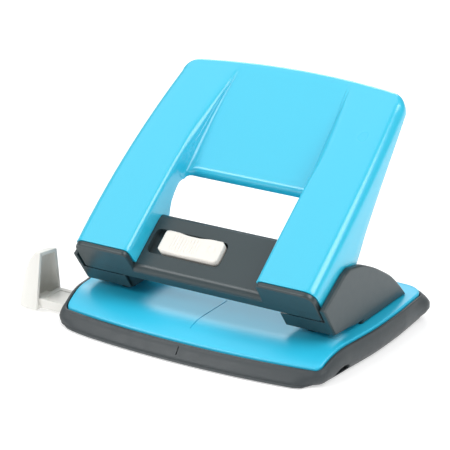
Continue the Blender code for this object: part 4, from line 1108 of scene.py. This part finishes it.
def paper_guide():
    """Thin shell upright, open towards the tray, on a flat bar."""
    low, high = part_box("paper_guide")
    foot, top = low.z, high.z - GUIDE_TOP_DROP
    levels, around = 22, 26
    bm = bmesh.new()
    rings = []
    for part in [level / levels for level in range(levels + 1)]:
        z = lerp(foot, top - GUIDE_ROLL, part)
        front, rear = lerp(*GUIDE_FRONT, part), lerp(*GUIDE_REAR, part)
        depth = GUIDE_DEPTH * (1.0 - 0.32 * part - 0.30 * part ** 6)
        centre, reach = (front + rear) / 2, (rear - front) / 2
        ring = []
        for index in range(around + 1):
            angle = math.pi * index / around
            y = centre - reach * math.copysign(abs(math.cos(angle)) ** 0.55, math.cos(angle))
            x = GUIDE_INNER_X - depth * max(math.sin(angle), 0.0) ** 0.60
            ring.append(bm.verts.new((x, y, z - GUIDE_TOP_SLOPE * part * (y - front) / (rear - front))))
        rings.append(ring)
    roll = []
    for angle in quarter(4)[1:]:
        ring = []
        share = math.cos(angle)
        for vert in rings[-1]:
            x = GUIDE_INNER_X + (vert.co.x - GUIDE_INNER_X) * lerp(0.45, 1.0, share)
            y = lerp(GUIDE_MID_Y, vert.co.y, lerp(0.90, 1.0, share))
            ring.append(bm.verts.new((x, y, vert.co.z + GUIDE_ROLL * math.sin(angle))))
        roll.append(ring)
    rings += roll
    skin_faces(bm, rings)
    bm.faces.new(rings[-1])
    bm.faces.new(rings[0])
    bmesh.ops.recalc_face_normals(bm, faces=bm.faces)
    outward = sum((face.calc_center_median().x - GUIDE_INNER_X) * face.normal.x * face.calc_area()
                  for face in bm.faces)
    if outward < 0:
        bmesh.ops.reverse_faces(bm, faces=bm.faces)
    obj = new_object("guide_upright", bm, WHITE, 45.0)
    thicken(obj, GUIDE_WALL, 0.00025, 45.0, 40.0)
    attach(obj, "guide")
    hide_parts("paper_guide")
    bar = box("guide_bar", (GUIDE_INNER_X - 0.0002, BAR_Y[0], BAR_Z[0]), (high.x, BAR_Y[1], BAR_Z[1]), WHITE)
    heel = box("heel", (GUIDE_INNER_X - HEEL_REACH[0], HEEL_Y[0], BAR_Z[0]),
               (GUIDE_INNER_X + HEEL_REACH[1], HEEL_Y[1], HEEL_TOP), WHITE)
    boolean(bar, [heel], "UNION")
    groove = box("groove", (GUIDE_INNER_X + 0.0020, GROOVE_Y[0], GROOVE_FLOOR),
                 (high.x - 0.0030, GROOVE_Y[1], 0.0060), WHITE)
    boolean(bar, [groove], "DIFFERENCE")
    bevel(bar, 0.0003, 2, 40.0)
    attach(bar, "guide")


# ---------------------------------------------------------------- side covers

def cheek_outline():
    """(y, z) of a cheek, from its front foot over its top to its rear foot."""
    front = [(-0.0216, 0.0141), (-0.0302, 0.0263), (-0.0157, 0.0351)]
    corner = []
    for step in range(8):
        angle = math.radians(lerp(121.0, 72.0, step / 7))
        corner.append((-0.0118 + 0.0042 * math.cos(angle), 0.0320 + 0.0042 * math.sin(angle)))
    top = curve_through([(-0.0105, 0.0360), (-0.0040, 0.0348), (-0.0004, 0.0335), (0.0060, 0.0306),
                         (0.0114, 0.0277), (0.0189, 0.0232), (0.0238, 0.0193), (0.0280, 0.0154),
                         (0.0320, 0.0113)], 4)
    foot = [(-0.0016, 0.0113), (-0.0016, 0.0126), (-0.0064, 0.0126), (-0.0115, 0.0134)]
    return front + corner + [point for point in top if point[0] > -0.0075] + foot


def soften_outside(obj, x, width):
    """Rounds the rim of the face that lies on one x plane."""
    bm = bmesh.new()
    bm.from_mesh(obj.data)
    rim = [edge for edge in bm.edges if all(abs(vert.co.x - x) < 1e-6 for vert in edge.verts)]
    bmesh.ops.bevel(bm, geom=rim, offset=width, segments=3, profile=0.5, affect="EDGES")
    bm.to_mesh(obj.data)
    bm.free()
    shade(obj)


def side_cover(word, side):
    """Moulded housing: outer cheek, front and inner walls and a low roof."""
    cheek = prism(f"cover_cheek_{word}", cheek_outline(), side * CHEEK_IN, side * CHEEK_OUT, GREY)
    soften_outside(cheek, side * CHEEK_OUT, CHEEK_SOFT)
    front = [(-0.0216, 0.0141), (-0.0202, 0.0140), (-0.0241, 0.0202), (-0.0259, 0.0202)]
    inner = [(-0.0209, 0.0140), (-0.0012, 0.0140), (-0.0012, 0.0113), (0.0300, 0.0113), (0.0300, 0.0122),
             (0.0130, 0.0195), (-0.0030, 0.0195), (-0.0060, 0.0202), (-0.0252, 0.0202)]
    roof = [(-0.0030, 0.0195), (0.0130, 0.0195), (0.0302, 0.0122), (0.0302, 0.0113), (0.0288, 0.0113),
            (0.0288, 0.0116), (0.0126, 0.0183), (-0.0030, 0.0183)]
    tools = [prism("front", front, side * COVER_INNER, side * (CHEEK_IN + COVER_WALL), GREY),
             prism("inner", inner, side * COVER_INNER, side * (COVER_INNER + COVER_WALL), GREY),
             prism("roof", roof, side * (COVER_INNER + 0.0002), side * (CHEEK_IN + COVER_WALL), GREY)]
    boolean(cheek, tools, "UNION")
    bevel(cheek, 0.00035, 2, 28.0)
    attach(cheek, "base")
    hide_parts(f"side_cover_{word}")


# ---------------------------------------------------------------- punch units

def return_spring(word, side):
    """Fine coil whose end turns lie flat."""
    low, high = SPRING_LOW.z + WIRE_R, SPRING_HIGH.z - WIRE_R
    per_turn = 28
    curve = bpy.data.curves.new(f"coil_{word}", "CURVE")
    curve.dimensions = "3D"
    curve.bevel_depth = WIRE_R
    curve.bevel_resolution = 3
    curve.use_fill_caps = True
    spline = curve.splines.new("POLY")
    total = int(COIL_TURNS * per_turn)
    spline.points.add(total)
    for index, point in enumerate(spline.points):
        part = index / total
        angle = side * 2 * math.pi * COIL_TURNS * part
        rise = smooth(0.06, 0.30, part) * 0.14 + smooth(0.70, 0.94, part) * 0.14
        middle = min(max((part - 0.12) / 0.76, 0.0), 1.0) * 0.72
        height = low + (high - low) * (rise + middle)
        point.co = (side * PIN_X + COIL_R * math.cos(angle), PIN_Y + COIL_R * math.sin(angle), height, 1.0)
    source = bpy.data.objects.new("coil_curve", curve)
    bpy.context.scene.collection.objects.link(source)
    bpy.context.view_layer.update()
    graph = bpy.context.evaluated_depsgraph_get()
    mesh = bpy.data.meshes.new_from_object(source.evaluated_get(graph))
    bpy.data.objects.remove(source, do_unlink=True)
    mesh.name = f"coil_{word}"
    mesh.materials.clear()
    mesh.materials.append(WIRE)
    bm = bmesh.new()
    bm.from_mesh(mesh)
    bmesh.ops.remove_doubles(bm, verts=bm.verts, dist=1e-6)
    bmesh.ops.recalc_face_normals(bm, faces=bm.faces)
    bm.to_mesh(mesh)
    bm.free()
    obj = bpy.data.objects.new(f"coil_{word}", mesh)
    bpy.context.scene.collection.objects.link(obj)
    shade(obj, 60.0)
    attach(obj, "base")
    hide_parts(f"return_spring_{word}")
    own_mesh(obj)


def steel_parts():
    """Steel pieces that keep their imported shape, with fine broken edges and their own finish."""
    finishes = {"zinc_steel": ZINC, "hardened_steel": HARD}
    for row in frame["record"]["subparts"]:
        name, slot = row["node"], row["material_slot"]
        if slot not in finishes:
            continue
        obj = frame["nodes"][name]
        obj.data.materials.clear()
        obj.data.materials.append(finishes[slot])
        add_bevel(obj, STEEL_BREAK, 2, 50.0)


# ---------------------------------------------------------------- camera, light and floor

def camera():
    """Long lens from the front right, a little above the punch."""
    level = math.cos(CAMERA_ELEVATION)
    back = Vector((math.sin(CAMERA_AZIMUTH) * level, -math.cos(CAMERA_AZIMUTH) * level,
                   math.sin(CAMERA_ELEVATION)))
    data = bpy.data.cameras.new("camera")
    data.sensor_width = 36.0
    data.lens = CAMERA_LENS
    data.shift_x, data.shift_y = CAMERA_SHIFT
    data.clip_start, data.clip_end = 0.05, 20.0
    obj = bpy.data.objects.new("camera", data)
    obj.location = AIM + back * CAMERA_DISTANCE
    obj.rotation_euler = (-back).to_track_quat("-Z", "Y").to_euler()
    bpy.context.scene.collection.objects.link(obj)
    bpy.context.scene.camera = obj


def area_light(name, place, width, height, power):
    """Soft box that faces the punch."""
    data = bpy.data.lights.new(name, "AREA")
    data.shape = "RECTANGLE"
    data.size, data.size_y = width, height
    data.energy = power
    obj = bpy.data.objects.new(name, data)
    obj.location = place
    obj.rotation_euler = (AIM - Vector(place)).to_track_quat("-Z", "Y").to_euler()
    bpy.context.scene.collection.objects.link(obj)


def studio():
    """Pale floor, even surroundings and four soft boxes."""
    bm = bmesh.new()
    bmesh.ops.create_grid(bm, x_segments=2, y_segments=2, size=6.0)
    floor = new_object("floor", bm, FLOOR)
    floor.location.z = -0.0002
    world = bpy.data.worlds.new("studio")
    world.use_nodes = True
    background = world.node_tree.nodes["Background"]
    background.inputs["Color"].default_value = WHITE_LIGHT
    background.inputs["Strength"].default_value = 0.34
    bpy.context.scene.world = world
    bpy.context.scene.view_settings.view_transform = "Standard"
    for name, light in LIGHTS.items():
        area_light(name, *light)


# ---------------------------------------------------------------- assembly

camera()
studio()
handle_shell()
screw_bosses()
body = frame_body()
frame_decks()
lock_slider()
base_plate()
chip_tray()
paper_guide()
for word, side in SIDES.items():
    side_cover(word, side)
    return_spring(word, side)
steel_parts()
